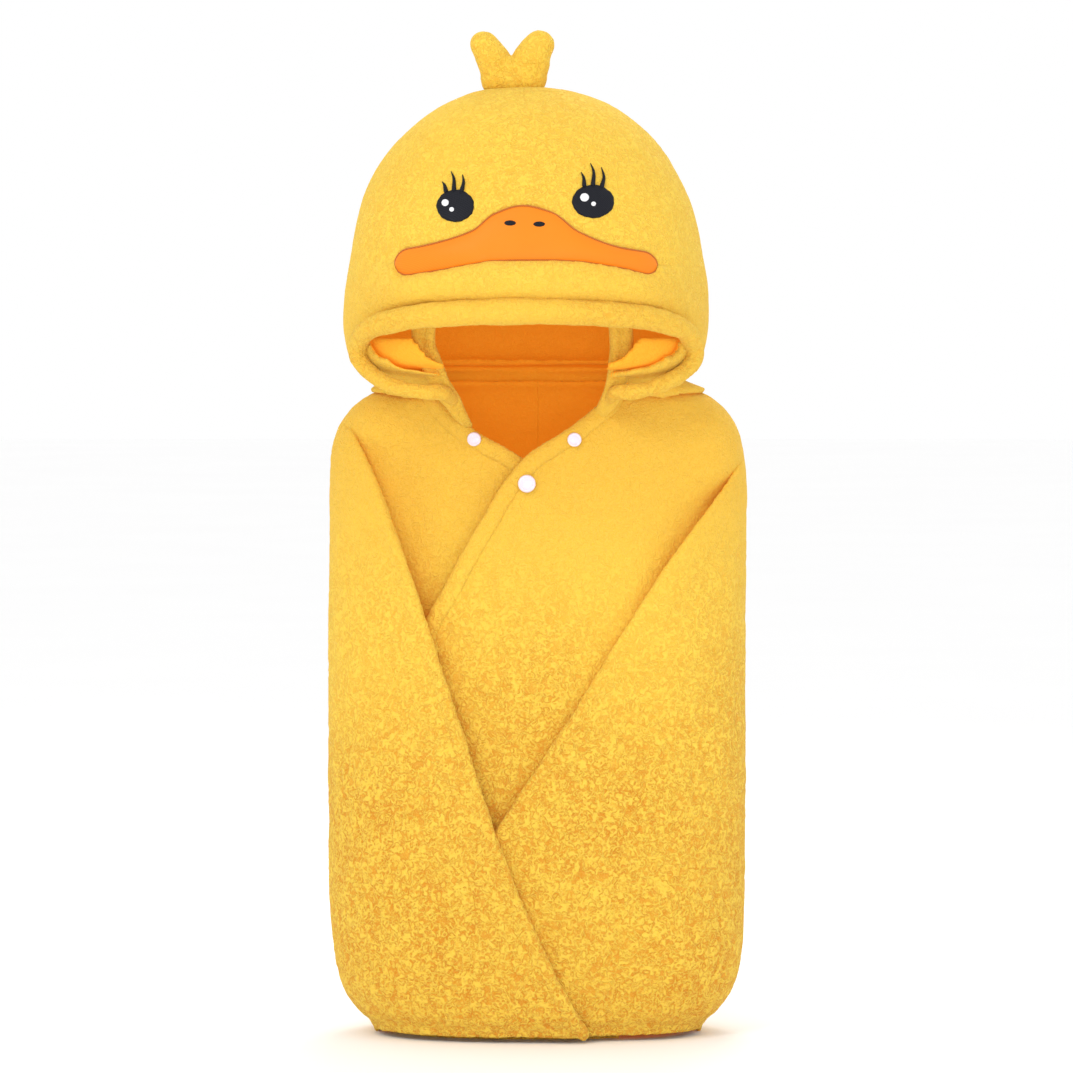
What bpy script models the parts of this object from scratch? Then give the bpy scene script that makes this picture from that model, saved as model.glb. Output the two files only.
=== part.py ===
"""Hooded baby towel with a duck face, wrapped shut and standing on its hem as it is worn.

Front is -Y, +X is to the right seen from the front, +Z is up, and everything is in metres. The towel is a body of
cloth around a hollow for the child, two wraps that cross over the front, a right front that snaps over the left
front at the neck, and a hood with a padded brim, an orange bill, eyes with lashes, and a stuffed crest.
"""

import math

import bmesh
import bpy
import numpy as np
from mathutils import Matrix, Vector

COLLECTION = "hooded_baby_towel"
CUTTERS = "cutters"
GAP = 0.0005              # clearance between pieces that touch
SEWN_GAP = 0.0020         # between a panel and the band along its edge
MERGE = 0.00005           # merge distance for modifiers and welds

# Cloth body: section half width and half depth at each height, outside the outermost layer.
BODY_PROFILE = (
    (0.0000, 0.1130, 0.0600),
    (0.0050, 0.1130, 0.0600),
    (0.0160, 0.1235, 0.0665),
    (0.0300, 0.1325, 0.0705),
    (0.0500, 0.1380, 0.0735),
    (0.1200, 0.1428, 0.0765),
    (0.2500, 0.1428, 0.0760),
    (0.3600, 0.1428, 0.0710),
    (0.3920, 0.1420, 0.0665),
    (0.4110, 0.1387, 0.0625),
    (0.4280, 0.1290, 0.0575),
    (0.4400, 0.1120, 0.0525),
    (0.4445, 0.0920, 0.0490),
    (0.4480, 0.0740, 0.0450),
)
BODY_ROUNDNESS = 2.3      # superellipse power of the section: 2 is an ellipse
BODY_Y = 0.0120           # middle of the cloth body behind the hood's middle
STAND_Y = 0.0122          # how far the whole is moved back, so that its box is centred on the origin
CLOTH = 0.0040            # thickness of one layer of fleece
SIDE_SEAM_ANGLE = 0.005   # how far the panels stop from the side seams
FLOOR_CLEARANCE = 0.003   # lower edge of the flaps above the floor

# How far each front layer's outer face lies inside the outermost one.
RIGHT_WRAP_DEPTH = 0.0065
RIGHT_FRONT_DEPTH = 0.0120
NECK_RISE = 0.0070        # how far the right front comes forward again towards the neck
SNAP_ROOM = 0.0085        # from the right front's outer face to the left front's
UNDER_WRAP_DEPTH = 0.0080
WRAP_OVERLAP = 0.0070     # how far the right layers reach under the left wrap
UNDERLAP = 0.0300         # how far the left front reaches under the right front
BAND = 0.0120             # width of the folded edge bands
BAND_PROUD = 0.0005

# Edges seen from the front, as (x, z), from the top down.
LEFT_WRAP_EDGE = ((-0.1290, 0.417), (-0.0986, 0.343), (-0.0626, 0.236), (-0.0306, 0.138), (-0.0007, 0.065),
                  (0.0320, 0.004), (0.0345, 0.000))
RIGHT_WRAP_EDGE = ((0.1340, 0.386), (0.1220, 0.368), (0.0843, 0.316), (0.0238, 0.220), (-0.0306, 0.138),
                   (-0.0640, 0.090))
RIGHT_FRONT_EDGE = ((0.0470, 0.439), (0.0240, 0.421), (-0.0100, 0.398), (-0.0415, 0.352), (-0.0660, 0.308),
                    (-0.1000, 0.250))
LEFT_NECK_EDGE = ((-0.0700, 0.4470), (-0.0640, 0.436), (-0.0490, 0.421), (-0.0100, 0.398), (0.0120, 0.382))
LEFT_WRAP_TOP = 0.405
RIGHT_WRAP_TOP = 0.382
RIGHT_FRONT_TOP = 0.431
YOKE_BOTTOM = 0.436
YOKE_END_ANGLE = math.radians(55.0)
BODY_TOP = 0.4480
NECK_BAND_TOP = 0.4465
RIGHT_BAND_BOTTOM = 0.262
HEM_ROWS = (0.005, 0.016, 0.030)      # rows of points that round the body in above the floor
BACK_ROW = 0.021          # height of one row of the back
FRONT_ROW = 0.018
WRAP_ROW = 0.019
NECK_ROW = 0.010          # the rows beside the edge bands are closer, as the edges bend there
CORNER_ROW = 0.004        # row in which a panel steps in to make room for its band
BACK_COLUMNS = 22
YOKE_COLUMNS = 5
FRONT_COLUMNS = 15
WRAP_COLUMNS = 16
BAND_COLUMNS = 3

# Hood: height, half width, reach to the front and to the back of each ring, from the neck rim up to the crown.
HOOD_X = -0.0080
HOOD_PROFILE = (
    (0.4535, 0.0720, 0.0700, 0.0600),
    (0.4520, 0.0950, 0.0850, 0.0680),
    (0.4560, 0.1120, 0.0980, 0.0780),
    (0.4700, 0.1210, 0.1080, 0.0880),
    (0.4900, 0.1238, 0.1140, 0.0940),
    (0.5100, 0.1235, 0.1155, 0.0970),
    (0.5300, 0.1215, 0.1140, 0.0980),
    (0.5660, 0.1140, 0.1060, 0.0940),
    (0.5960, 0.1000, 0.0920, 0.0830),
    (0.6200, 0.0800, 0.0730, 0.0680),
    (0.6380, 0.0530, 0.0480, 0.0460),
    (0.6460, 0.0270, 0.0250, 0.0240),
    (0.6480, 0.0000, 0.0000, 0.0000),
)
HOOD_ROUNDNESS = 2.15
HOOD_SIDES = 36
HOOD_RINGS = 15
HOOD_KEPT = 0.80          # share of the sphere's rings that make the hood
LINING_CLOTH = 0.0030
LINING_ROOM = 0.0010      # between shell and lining, on top of the usual clearance
MOUTH_FOOT = 0.425        # the front opening is cut down to here
MOUTH_FRONT = -0.20
MOUTH_DEPTH = 0.012       # how far behind the hood's middle the front opening is cut
# Centre line of the padded brim, as (x, y, z, radius), from the left lip over the front to the right lip.
BRIM_PATH = (
    (-0.0620, -0.0700, 0.4445, 0.0040),
    (-0.0800, -0.0720, 0.4430, 0.0046),
    (-0.1010, -0.0640, 0.4480, 0.0052),
    (-0.1180, -0.0520, 0.4600, 0.0056),
    (-0.1210, -0.0540, 0.4740, 0.0062),
    (-0.1080, -0.0780, 0.4870, 0.0072),
    (-0.0700, -0.1030, 0.4945, 0.0082),
    (-0.0080, -0.1145, 0.4975, 0.0085),
    (0.0540, -0.1030, 0.4945, 0.0082),
    (0.0920, -0.0780, 0.4870, 0.0072),
    (0.1050, -0.0540, 0.4740, 0.0062),
    (0.1020, -0.0520, 0.4600, 0.0056),
    (0.0850, -0.0640, 0.4480, 0.0052),
    (0.0660, -0.0720, 0.4430, 0.0046),
    (0.0500, -0.0700, 0.4445, 0.0040),
)
# Edge of the lining around the face, as (x, y, z, radius).
FACE_PATH = (
    (-0.0590, -0.0600, 0.4440, 0.0050),
    (-0.0660, -0.0640, 0.4560, 0.0060),
    (-0.0760, -0.0700, 0.4780, 0.0070),
    (-0.0700, -0.0800, 0.5080, 0.0065),
    (-0.0420, -0.0900, 0.5320, 0.0060),
    (-0.0080, -0.0935, 0.5400, 0.0060),
    (0.0260, -0.0900, 0.5320, 0.0060),
    (0.0500, -0.0800, 0.5080, 0.0065),
    (0.0530, -0.0700, 0.4780, 0.0070),
    (0.0530, -0.0640, 0.4560, 0.0060),
    (0.0510, -0.0600, 0.4440, 0.0050),
)
# Bill outline: (x, bottom z, top z) from its left end to its right end.
BILL = (
    (-0.0940, 0.5290, 0.5295),
    (-0.0905, 0.5205, 0.5365),
    (-0.0700, 0.5235, 0.5410),
    (-0.0430, 0.5285, 0.5500),
    (-0.0290, 0.5305, 0.5610),
    (-0.0100, 0.5310, 0.5665),
    (0.0090, 0.5310, 0.5620),
    (0.0265, 0.5300, 0.5490),
    (0.0520, 0.5260, 0.5390),
    (0.0740, 0.5205, 0.5350),
    (0.0775, 0.5275, 0.5280),
)
BILL_CLOTH = 0.0030
BILL_COLUMNS = 28
BILL_ROWS = 4
STITCH_RADIUS = 0.0008
STITCH_BESIDE = 0.0030    # from the bill's outline to its edge stitch
STITCH_POINTS = 32
EYES = {"left": (-0.0551, 0.5670, 0.0126, 0.0109), "right": (0.0367, 0.5698, 0.0140, 0.0112)}
EYE_THICK = 0.0024
# Each lash leaves the eye at the first (x, z) and bends over to its tip.
LASHES = {
    "left": (((-0.0615, 0.5775), (-0.0625, 0.5808), (-0.0640, 0.5832)),
             ((-0.0560, 0.5790), (-0.0562, 0.5850), (-0.0582, 0.5902)),
             ((-0.0508, 0.5780), (-0.0496, 0.5828), (-0.0504, 0.5878))),
    "right": (((0.0308, 0.5815), (0.0304, 0.5855), (0.0288, 0.5892)),
              ((0.0366, 0.5822), (0.0372, 0.5892), (0.0350, 0.5952)),
              ((0.0426, 0.5808), (0.0440, 0.5862), (0.0424, 0.5925))),
}
LASH_RADIUS = 0.0011
LASH_TAPER = 0.11         # share of its radius that a lash loses at each step to its tip
HIGHLIGHTS = {
    "left": ((-0.0612, 0.5685, 0.0024), (-0.0568, 0.5640, 0.0016)),
    "right": ((0.0306, 0.5719, 0.0029), (0.0364, 0.5676, 0.0016)),
}
NOSTRILS = {"left": (-0.0184, 0.5549), "right": (0.0007, 0.5542)}
HIGHLIGHT_THICK = 0.0007
NOSTRILS_THICK = 0.0008
NOSTRIL_SIZE = (0.0037, 0.0016)
SMALL_BEAD_SIDES = 12
CREST_MIDDLE = (-0.0150, 0.6592)
CREST_BASE = (0.0215, 0.0092)
CREST_LOBE_DEPTH = 0.0082
# Lobes of the crest: (x, z, half width, half height, lean in degrees).
CREST_LOBES = ((-0.0335, 0.6690, 0.0090, 0.0182, -17.0), (0.0005, 0.6690, 0.0095, 0.0182, 15.0))

SNAP_CAP_RADIUS = 0.0062
SNAP_CAP_THICK = 0.0018
SNAP_BACK_SHARE = 0.7     # the caps at the back of the cloth are this much flatter
SIDE_SNAP_SHARE = 0.8     # the side snaps are this much smaller
SNAP_SOCKET_THICK = 0.0018
SNAP_RING_RADIUS = 0.0050
SNAP_SIDES = 14
# Profiles as (radius, height): the socket with its recess below, and the stud with its knob above.
SNAP_SOCKET = ((0.0, SNAP_SOCKET_THICK), (SNAP_RING_RADIUS, SNAP_SOCKET_THICK), (SNAP_RING_RADIUS, 0.0003),
               (0.0044, 0.0), (0.0027, 0.0), (0.0027, 0.0010), (0.0, 0.0010))
SNAP_STUD = ((0.0, 0.0018), (0.0015, 0.0017), (0.0019, 0.0013), (0.0017, 0.0007), (0.0046, 0.0007),
             (SNAP_RING_RADIUS, 0.0005), (SNAP_RING_RADIUS, 0.0), (0.0, 0.0))
CENTRE_SNAP = (-0.0075, 0.3800)
LEFT_SNAP = (-0.0430, 0.4095)
RIGHT_SNAP = (0.0245, 0.4095)

COLOURS = {
    "fleece": ((0.93, 0.56, 0.07), 0.95, 0.0),
    "lining": ((0.90, 0.40, 0.05), 0.95, 0.0),
    "bill": ((0.93, 0.32, 0.03), 0.75, 0.0),
    "embroidery": ((0.012, 0.014, 0.022), 0.55, 0.0),
    "white_thread": ((0.92, 0.92, 0.92), 0.50, 0.0),
    "snap_plastic": ((0.88, 0.76, 0.84), 0.25, 0.0),
}


def clear_scene():
    for found in list(bpy.data.objects):
        bpy.data.objects.remove(found)
    for name in (COLLECTION, CUTTERS):
        old = bpy.data.collections.get(name)
        if old:
            bpy.data.collections.remove(old)
        bpy.context.scene.collection.children.link(bpy.data.collections.new(name))


def material(name):
    found = bpy.data.materials.get(name)
    if found:
        return found
    made = bpy.data.materials.new(name)
    made.use_nodes = True
    shader = made.node_tree.nodes["Principled BSDF"]
    colour, roughness, metallic = COLOURS[name]
    shader.inputs["Base Color"].default_value = (*colour, 1.0)
    shader.inputs["Roughness"].default_value = roughness
    shader.inputs["Metallic"].default_value = metallic
    return made


def add_object(name, data, looks, collection=COLLECTION):
    made = bpy.data.objects.new(name, data)
    bpy.data.collections[collection].objects.link(made)
    if looks:
        own = material(looks).copy()
        own.name = name + "_" + looks
        data.materials.append(own)
    return made


def add_mesh(name, bm, looks, collection=COLLECTION):
    data = bpy.data.meshes.new(name)
    bm.to_mesh(data)
    bm.free()
    data.shade_smooth()
    data.set_sharp_from_angle(angle=math.radians(40.0))
    return add_object(name, data, looks, collection)


def as_cutter(made):
    made.hide_render = True
    made.display_type = "WIRE"
    return made


def step(value, start, end):
    """0 before start, 1 after end, and a smooth rise between."""
    t = min(max((value - start) / (end - start), 0.0), 1.0)
    return t * t * (3.0 - 2.0 * t)


def curve_through(keys, values, at):
    """Smooth curve through (key, value) points that doesn't overshoot them. Keys rise."""
    keys = np.asarray(keys, float)
    values = np.asarray(values, float)
    h = np.diff(keys)
    slope = np.diff(values) / h
    m = np.zeros(len(keys))
    m[0], m[-1] = slope[0], slope[-1]
    for i in range(1, len(keys) - 1):
        if slope[i - 1] * slope[i] > 0:
            w1 = 2 * h[i] + h[i - 1]
            w2 = h[i] + 2 * h[i - 1]
            m[i] = (w1 + w2) / (w1 / slope[i - 1] + w2 / slope[i])
    i = int(min(max(np.searchsorted(keys, at) - 1, 0), len(keys) - 2))
    t = min(max((at - keys[i]) / h[i], 0.0), 1.0)
    a = (1 + 2 * t) * (1 - t) ** 2
    b = t * (1 - t) ** 2
    c = t * t * (3 - 2 * t)
    d = t * t * (t - 1)
    return float(a * values[i] + b * h[i] * m[i] + c * values[i + 1] + d * h[i] * m[i + 1])


def edge_x(edge, z):
    """x of an edge at a height."""
    points = sorted(edge, key=lambda p: p[1])
    return curve_through([p[1] for p in points], [p[0] for p in points], z)


# Cloth body

def body_width(z):
    return curve_through([p[0] for p in BODY_PROFILE], [p[1] for p in BODY_PROFILE], z)


def body_depth(z):
    return curve_through([p[0] for p in BODY_PROFILE], [p[2] for p in BODY_PROFILE], z)


def section_point(angle, z, inside):
    """Point of the body's section, from the left side (0) over the front (90 degrees) to the right side."""
    power = 2.0 / BODY_ROUNDNESS
    c, s = math.cos(angle), math.sin(angle)
    x = -(body_width(z) - inside) * math.copysign(abs(c) ** power, c)
    y = -(body_depth(z) - inside) * math.copysign(abs(s) ** power, s)
    return Vector((x, BODY_Y + y, z))


def section_angle(x, z, inside):
    share = max(-1.0, min(1.0, x / (body_width(z) - inside)))
    return math.acos(-math.copysign(abs(share) ** (BODY_ROUNDNESS / 2.0), share))


def front_point(x, z, inside):
    return section_point(section_angle(x, z, inside), z, inside)


def left_wrap_inside(x, z):
    return 0.0


def right_wrap_inside(x, z):
    return RIGHT_WRAP_DEPTH * (1.0 - step(x, 0.05, 0.10))


def right_front_inside(x, z):
    return RIGHT_FRONT_DEPTH - NECK_RISE * step(z, 0.36, 0.43)


def left_front_inside(x, z):
    under = right_front_inside(x, z) + SNAP_ROOM
    depth = UNDER_WRAP_DEPTH + (under - UNDER_WRAP_DEPTH) * step(x, -0.130, -0.100)
    return depth * (1.0 - step(z, 0.412, 0.442))


def left_wrap_edge(z):
    return edge_x(LEFT_WRAP_EDGE, z)


def under_left_wrap(z):
    return left_wrap_edge(z) - WRAP_OVERLAP


def right_wrap_edge(z):
    return max(edge_x(RIGHT_WRAP_EDGE, z), under_left_wrap(z))


def right_front_edge(z):
    return max(edge_x(RIGHT_FRONT_EDGE, z), under_left_wrap(z))


def left_front_edge(z):
    """The line that the left front follows under the right front, below its neck band."""
    x, top = LEFT_NECK_EDGE[-1]
    return min(right_front_edge(z) + UNDERLAP, x - BAND / 2 + (top - BAND - z) * 2.0)


def rows_between(low, high, spacing, extra=()):
    count = max(2, round((high - low) / spacing))
    rows = [low + (high - low) * i / count for i in range(count + 1)]
    rows += [z for z in extra if low < z < high]
    return sorted(set(round(z, 6) for z in rows))


def grid(columns, rows):
    """Flat grid whose vertices carry their (column, row) numbers, ready to be bent into a panel."""
    bm = bmesh.new()
    bmesh.ops.create_grid(bm, x_segments=columns, y_segments=rows, size=0.5)
    at = {}
    for v in bm.verts:
        at[v] = (round((v.co.x + 0.5) * columns), round((v.co.y + 0.5) * rows))
    return bm, at


def solidify(made, thickness):
    shell = made.modifiers.new("cloth", "SOLIDIFY")
    shell.thickness = thickness
    shell.offset = -1.0
    shell.use_even_offset = True
    shell.use_quality_normals = True
    return made


def front_panel(name, heights, start, end, inside, columns):
    """Panel of the front between two edges. start and end give the section angle at a height."""
    bm, at = grid(columns, len(heights) - 1)
    for v, (i, j) in at.items():
        z = heights[j]
        a, b = start(z), end(z)
        angle = a + (b - a) * i / columns
        x = section_point(angle, z, 0.0).x
        v.co = section_point(angle, z, inside(x, z))
    return solidify(add_mesh(name, bm, "fleece"), CLOTH)


def band(name, edge, inside, side, looks="fleece"):
    """Folded edge band: a strip along an edge of the front, on the side (-1 left, 1 right) where its cloth is."""
    points = [Vector(p) for p in edge]
    bm, at = grid(len(points) - 1, BAND_COLUMNS)
    for v, (i, j) in at.items():
        before, after = points[max(i - 1, 0)], points[min(i + 1, len(points) - 1)]
        along = (after - before).normalized()
        inward = Vector((along.y, -along.x))
        if inward.x * side < 0:
            inward = -inward
        p = points[i] + inward * BAND * (j / BAND_COLUMNS)
        v.co = front_point(p.x, p.y, inside(p.x, p.y) - BAND_PROUD)
    bmesh.ops.recalc_face_normals(bm, faces=bm.faces)
    if sum(f.normal.y * f.calc_area() for f in bm.faces) > 0:
        bmesh.ops.reverse_faces(bm, faces=bm.faces)
    return solidify(add_mesh(name, bm, looks), CLOTH + BAND_PROUD)


def inset_x(edge_points, z, width, side):
    """x at a height of a line that runs beside the edge, a width into its cloth."""
    points = [Vector(p) for p in edge_points]
    moved = []
    for i, p in enumerate(points):
        before, after = points[max(i - 1, 0)], points[min(i + 1, len(points) - 1)]
        along = (after - before).normalized()
        inward = Vector((along.y, -along.x))
        if inward.x * side < 0:
            inward = -inward
        moved.append(p + inward * width)
    moved.sort(key=lambda p: p.y)
    return float(np.interp(z, [p.y for p in moved], [p.x for p in moved]))


def edge_points(edge, top, bottom, spacing):
    """The edge as (x, z) points from the top down."""
    heights = rows_between(bottom, top, spacing)[::-1]
    return [(edge(z), z) for z in heights]


def make_back():
    """Back of the cloth body, which also makes the right shoulder in front of the side seam."""
    heights = rows_between(0.0, YOKE_BOTTOM - 0.001, BACK_ROW, HEM_ROWS)
    heights += [YOKE_BOTTOM] + [z for z, width, depth in BODY_PROFILE if z > YOKE_BOTTOM]
    bm, at = grid(BACK_COLUMNS + YOKE_COLUMNS, len(heights) - 1)
    seam_row = heights.index(YOKE_BOTTOM)
    for v, (i, j) in at.items():
        if i < YOKE_COLUMNS:
            angle = math.pi - YOKE_END_ANGLE * (1.0 - i / YOKE_COLUMNS)
        else:
            share = (i - YOKE_COLUMNS) / BACK_COLUMNS
            angle = math.pi + SIDE_SEAM_ANGLE + (math.pi - 2 * SIDE_SEAM_ANGLE) * share
        v.co = section_point(angle, heights[j], 0.0)
    cut = []
    for f in bm.faces:
        i = sum(at[v][0] for v in f.verts) / 4.0
        j = sum(at[v][1] for v in f.verts) / 4.0
        if i < YOKE_COLUMNS and j < seam_row:
            cut.append(f)
    bmesh.ops.delete(bm, geom=cut, context="FACES")
    return solidify(add_mesh("back_panel", bm, "fleece"), CLOTH)


def make_left_front():
    neck_low = LEFT_NECK_EDGE[-1][1]
    neck = edge_points(lambda z: edge_x(LEFT_NECK_EDGE, z), NECK_BAND_TOP, neck_low, 0.006)
    corner = neck_low - BAND
    heights = rows_between(0.0, corner - CORNER_ROW, FRONT_ROW, HEM_ROWS[:2])
    heights += rows_between(corner, BODY_TOP, NECK_ROW)

    def end(z):
        x = inset_x(neck, z, BAND + SEWN_GAP, -1)
        if z < corner:
            x = max(left_front_edge(z), x)
        return section_angle(x, z, left_front_inside(x, z))

    front_panel("left_front_panel", heights, lambda z: SIDE_SEAM_ANGLE, end, left_front_inside, FRONT_COLUMNS)
    band("left_front_band", neck, left_front_inside, -1)


def make_right_front():
    corner = RIGHT_BAND_BOTTOM - BAND
    heights = rows_between(FLOOR_CLEARANCE, corner - CORNER_ROW, FRONT_ROW, HEM_ROWS[1:2])
    heights += rows_between(corner, RIGHT_FRONT_TOP, NECK_ROW)
    edge = edge_points(right_front_edge, RIGHT_FRONT_TOP - GAP, RIGHT_BAND_BOTTOM, 0.007)

    def start(z):
        x = right_front_edge(z)
        if z >= corner:
            x = max(x, inset_x(edge, z, BAND + SEWN_GAP, 1))
        return section_angle(x, z, right_front_inside(x, z))

    front_panel("right_front_panel", heights, start, lambda z: math.pi - SIDE_SEAM_ANGLE, right_front_inside,
                FRONT_COLUMNS)
    band("right_front_band", edge, right_front_inside, 1)


def make_wraps():
    left_rows = rows_between(FLOOR_CLEARANCE, LEFT_WRAP_TOP, WRAP_ROW, HEM_ROWS[1:2])
    right_rows = rows_between(FLOOR_CLEARANCE, RIGHT_WRAP_TOP, WRAP_ROW, HEM_ROWS[1:2])
    front_panel("left_wrap", left_rows, lambda z: SIDE_SEAM_ANGLE,
                lambda z: section_angle(left_wrap_edge(z), z, 0.0), left_wrap_inside, WRAP_COLUMNS)
    front_panel("right_wrap", right_rows,
                lambda z: section_angle(right_wrap_edge(z), z, right_wrap_inside(right_wrap_edge(z), z)),
                lambda z: math.pi - SIDE_SEAM_ANGLE, right_wrap_inside, WRAP_COLUMNS)


# Hood

def hood_share(z_profile):
    """Distance along the hood's profile from the crown, as a share of the whole, for each ring."""
    points = [(p[0], p[1]) for p in reversed(z_profile)]
    lengths = [0.0]
    for a, b in zip(points, points[1:]):
        lengths.append(lengths[-1] + math.dist(a, b))
    return [length / lengths[-1] for length in lengths]


HOOD_SHARES = hood_share(HOOD_PROFILE)


def hood_value(share, column):
    values = [p[column] for p in reversed(HOOD_PROFILE)]
    return curve_through(HOOD_SHARES, values, share)


def hood_point(share, angle, inside):
    """Point of the hood: share 0 is the crown and 1 the neck rim, and angle -90 degrees is the front."""
    power = 2.0 / HOOD_ROUNDNESS
    d = 0.01
    before, after = max(share - d, 0.0), min(share + d, 1.0)
    across = hood_value(after, 1) - hood_value(before, 1)
    up = hood_value(after, 0) - hood_value(before, 0)
    along = Vector((across, up)).normalized()
    c, s = math.cos(angle), math.sin(angle)
    inward = inside * -along.y
    wide = max(hood_value(share, 1) - inward, 0.0)
    reach = max(hood_value(share, 2 if s < 0 else 3) - inward, 0.0)
    x = wide * math.copysign(abs(c) ** power, c)
    y = reach * math.copysign(abs(s) ** power, s)
    return Vector((HOOD_X + x, y, hood_value(share, 0) - inside * along.x))


def hood_front_y(x, z):
    """y of the hood's outer face in front, above the brim."""
    crown, brim = 0.0, HOOD_SHARES[-3]
    for _ in range(30):
        share = (crown + brim) / 2.0
        if hood_value(share, 0) > z:
            crown = share
        else:
            brim = share
    off_middle = min(abs(x - HOOD_X) / hood_value(share, 1), 0.999)
    return -hood_value(share, 2) * (1.0 - off_middle ** HOOD_ROUNDNESS) ** (1.0 / HOOD_ROUNDNESS)


def hood_surface(name, inside, thickness, looks):
    bm = bmesh.new()
    bmesh.ops.create_uvsphere(bm, u_segments=HOOD_SIDES, v_segments=HOOD_RINGS, radius=1.0)
    low = [v for v in bm.verts if math.acos(max(-1.0, min(1.0, v.co.z))) > math.pi * HOOD_KEPT + 0.01]
    bmesh.ops.delete(bm, geom=low, context="VERTS")
    for v in bm.verts:
        polar = math.acos(max(-1.0, min(1.0, v.co.z)))
        v.co = hood_point(polar / (math.pi * HOOD_KEPT), math.atan2(v.co.y, v.co.x), inside)
    return solidify(add_mesh(name, bm, looks), thickness)


def smooth_path(points, steps):
    """Points along a Catmull-Rom curve through the given ones, with every column carried along."""
    p = [np.asarray(q, float) for q in points]
    p = [2 * p[0] - p[1]] + p + [2 * p[-1] - p[-2]]
    out = []
    for i in range(1, len(p) - 2):
        for k in range(steps):
            t = k / steps
            out.append(0.5 * (2 * p[i] + (p[i + 1] - p[i - 1]) * t
                              + (2 * p[i - 1] - 5 * p[i] + 4 * p[i + 1] - p[i + 2]) * t * t
                              + (3 * p[i] - p[i - 1] - 3 * p[i + 1] + p[i + 2]) * t ** 3))
    out.append(p[-2])
    return out


def tube(name, points, looks, grow=0.0, resolution=2, cyclic=False, collection=COLLECTION):
    """Round tube along (x, y, z, radius) points."""
    curve = bpy.data.curves.new(name, "CURVE")
    curve.dimensions = "3D"
    curve.bevel_depth = 1.0
    curve.bevel_resolution = resolution
    curve.use_fill_caps = not cyclic
    spline = curve.splines.new("POLY")
    spline.points.add(len(points) - 1)
    for target, (x, y, z, radius) in zip(spline.points, points):
        target.co = (x, y, z, 1.0)
        target.radius = radius + grow
    spline.use_cyclic_u = cyclic
    return add_object(name, curve, looks, collection)


def tube_as_mesh(name, points, grow, resolution=2):
    """The same tube as a welded mesh, for cutting with."""
    made = tube(name + "_curve", points, None, grow, resolution, collection=CUTTERS)
    bpy.context.view_layer.update()
    data = bpy.data.meshes.new_from_object(made.evaluated_get(bpy.context.evaluated_depsgraph_get()))
    bm = bmesh.new()
    bm.from_mesh(data)
    bmesh.ops.remove_doubles(bm, verts=bm.verts, dist=MERGE)
    bmesh.ops.recalc_face_normals(bm, faces=bm.faces)
    bm.to_mesh(data)
    bm.free()
    cutter = bpy.data.objects.new(name, data)
    cutter.matrix_world = made.matrix_world
    bpy.data.collections[CUTTERS].objects.link(cutter)
    bpy.data.objects.remove(made)
    return as_cutter(cutter)


def prism(name, outline, near, far):
    """Cutter: an outline seen from the front, as (x, z), drawn out along Y."""
    bm = bmesh.new()
    front = [bm.verts.new((x, near, z)) for x, z in outline]
    face = bm.faces.new(front)
    made = bmesh.ops.extrude_face_region(bm, geom=[face])
    for v in made["geom"]:
        if isinstance(v, bmesh.types.BMVert):
            v.co.y = far
    bmesh.ops.recalc_face_normals(bm, faces=bm.faces)
    return as_cutter(add_mesh(name, bm, None, CUTTERS))


def cut(made, cutter):
    boolean = made.modifiers.new("cut_" + cutter.name, "BOOLEAN")
    boolean.operation = "DIFFERENCE"
    boolean.solver = "EXACT"
    boolean.object = cutter


def make_hood():
    shell = hood_surface("hood_shell", 0.0, CLOTH, "fleece")
    lining = hood_surface("hood_lining", CLOTH + GAP + LINING_ROOM, LINING_CLOTH, "lining")
    brim = smooth_path(BRIM_PATH, 3)
    tube("brim_band", brim, "fleece", resolution=2)
    mouth = [(x, z) for x, y, z, radius in brim]
    mouth = [(mouth[0][0], MOUTH_FOOT)] + mouth + [(mouth[-1][0], MOUTH_FOOT)]
    opening = prism("mouth_cutter", mouth, MOUTH_FRONT, -MOUTH_DEPTH)
    room = tube_as_mesh("brim_cutter", brim, GAP, 2)
    face_room = tube_as_mesh("face_cutter", smooth_path(FACE_PATH, 3), GAP, 2)
    for piece in (shell, lining):
        cut(piece, opening)
        cut(piece, room)
    cut(lining, face_room)
    tube("face_edge_band", smooth_path(FACE_PATH, 3), "lining", resolution=2)


def on_hood(x, z, height):
    """Point a height off the hood's face, along its normal."""
    d = 0.001
    across = (hood_front_y(x + d, z) - hood_front_y(x - d, z)) / (2 * d)
    up = (hood_front_y(x, z + d) - hood_front_y(x, z - d)) / (2 * d)
    out = Vector((across, -1.0, up)).normalized()
    return Vector((x, hood_front_y(x, z), z)) + out * height


def bill_edges(x):
    xs = [p[0] for p in BILL]
    return curve_through(xs, [p[1] for p in BILL], x), curve_through(xs, [p[2] for p in BILL], x)


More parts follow.
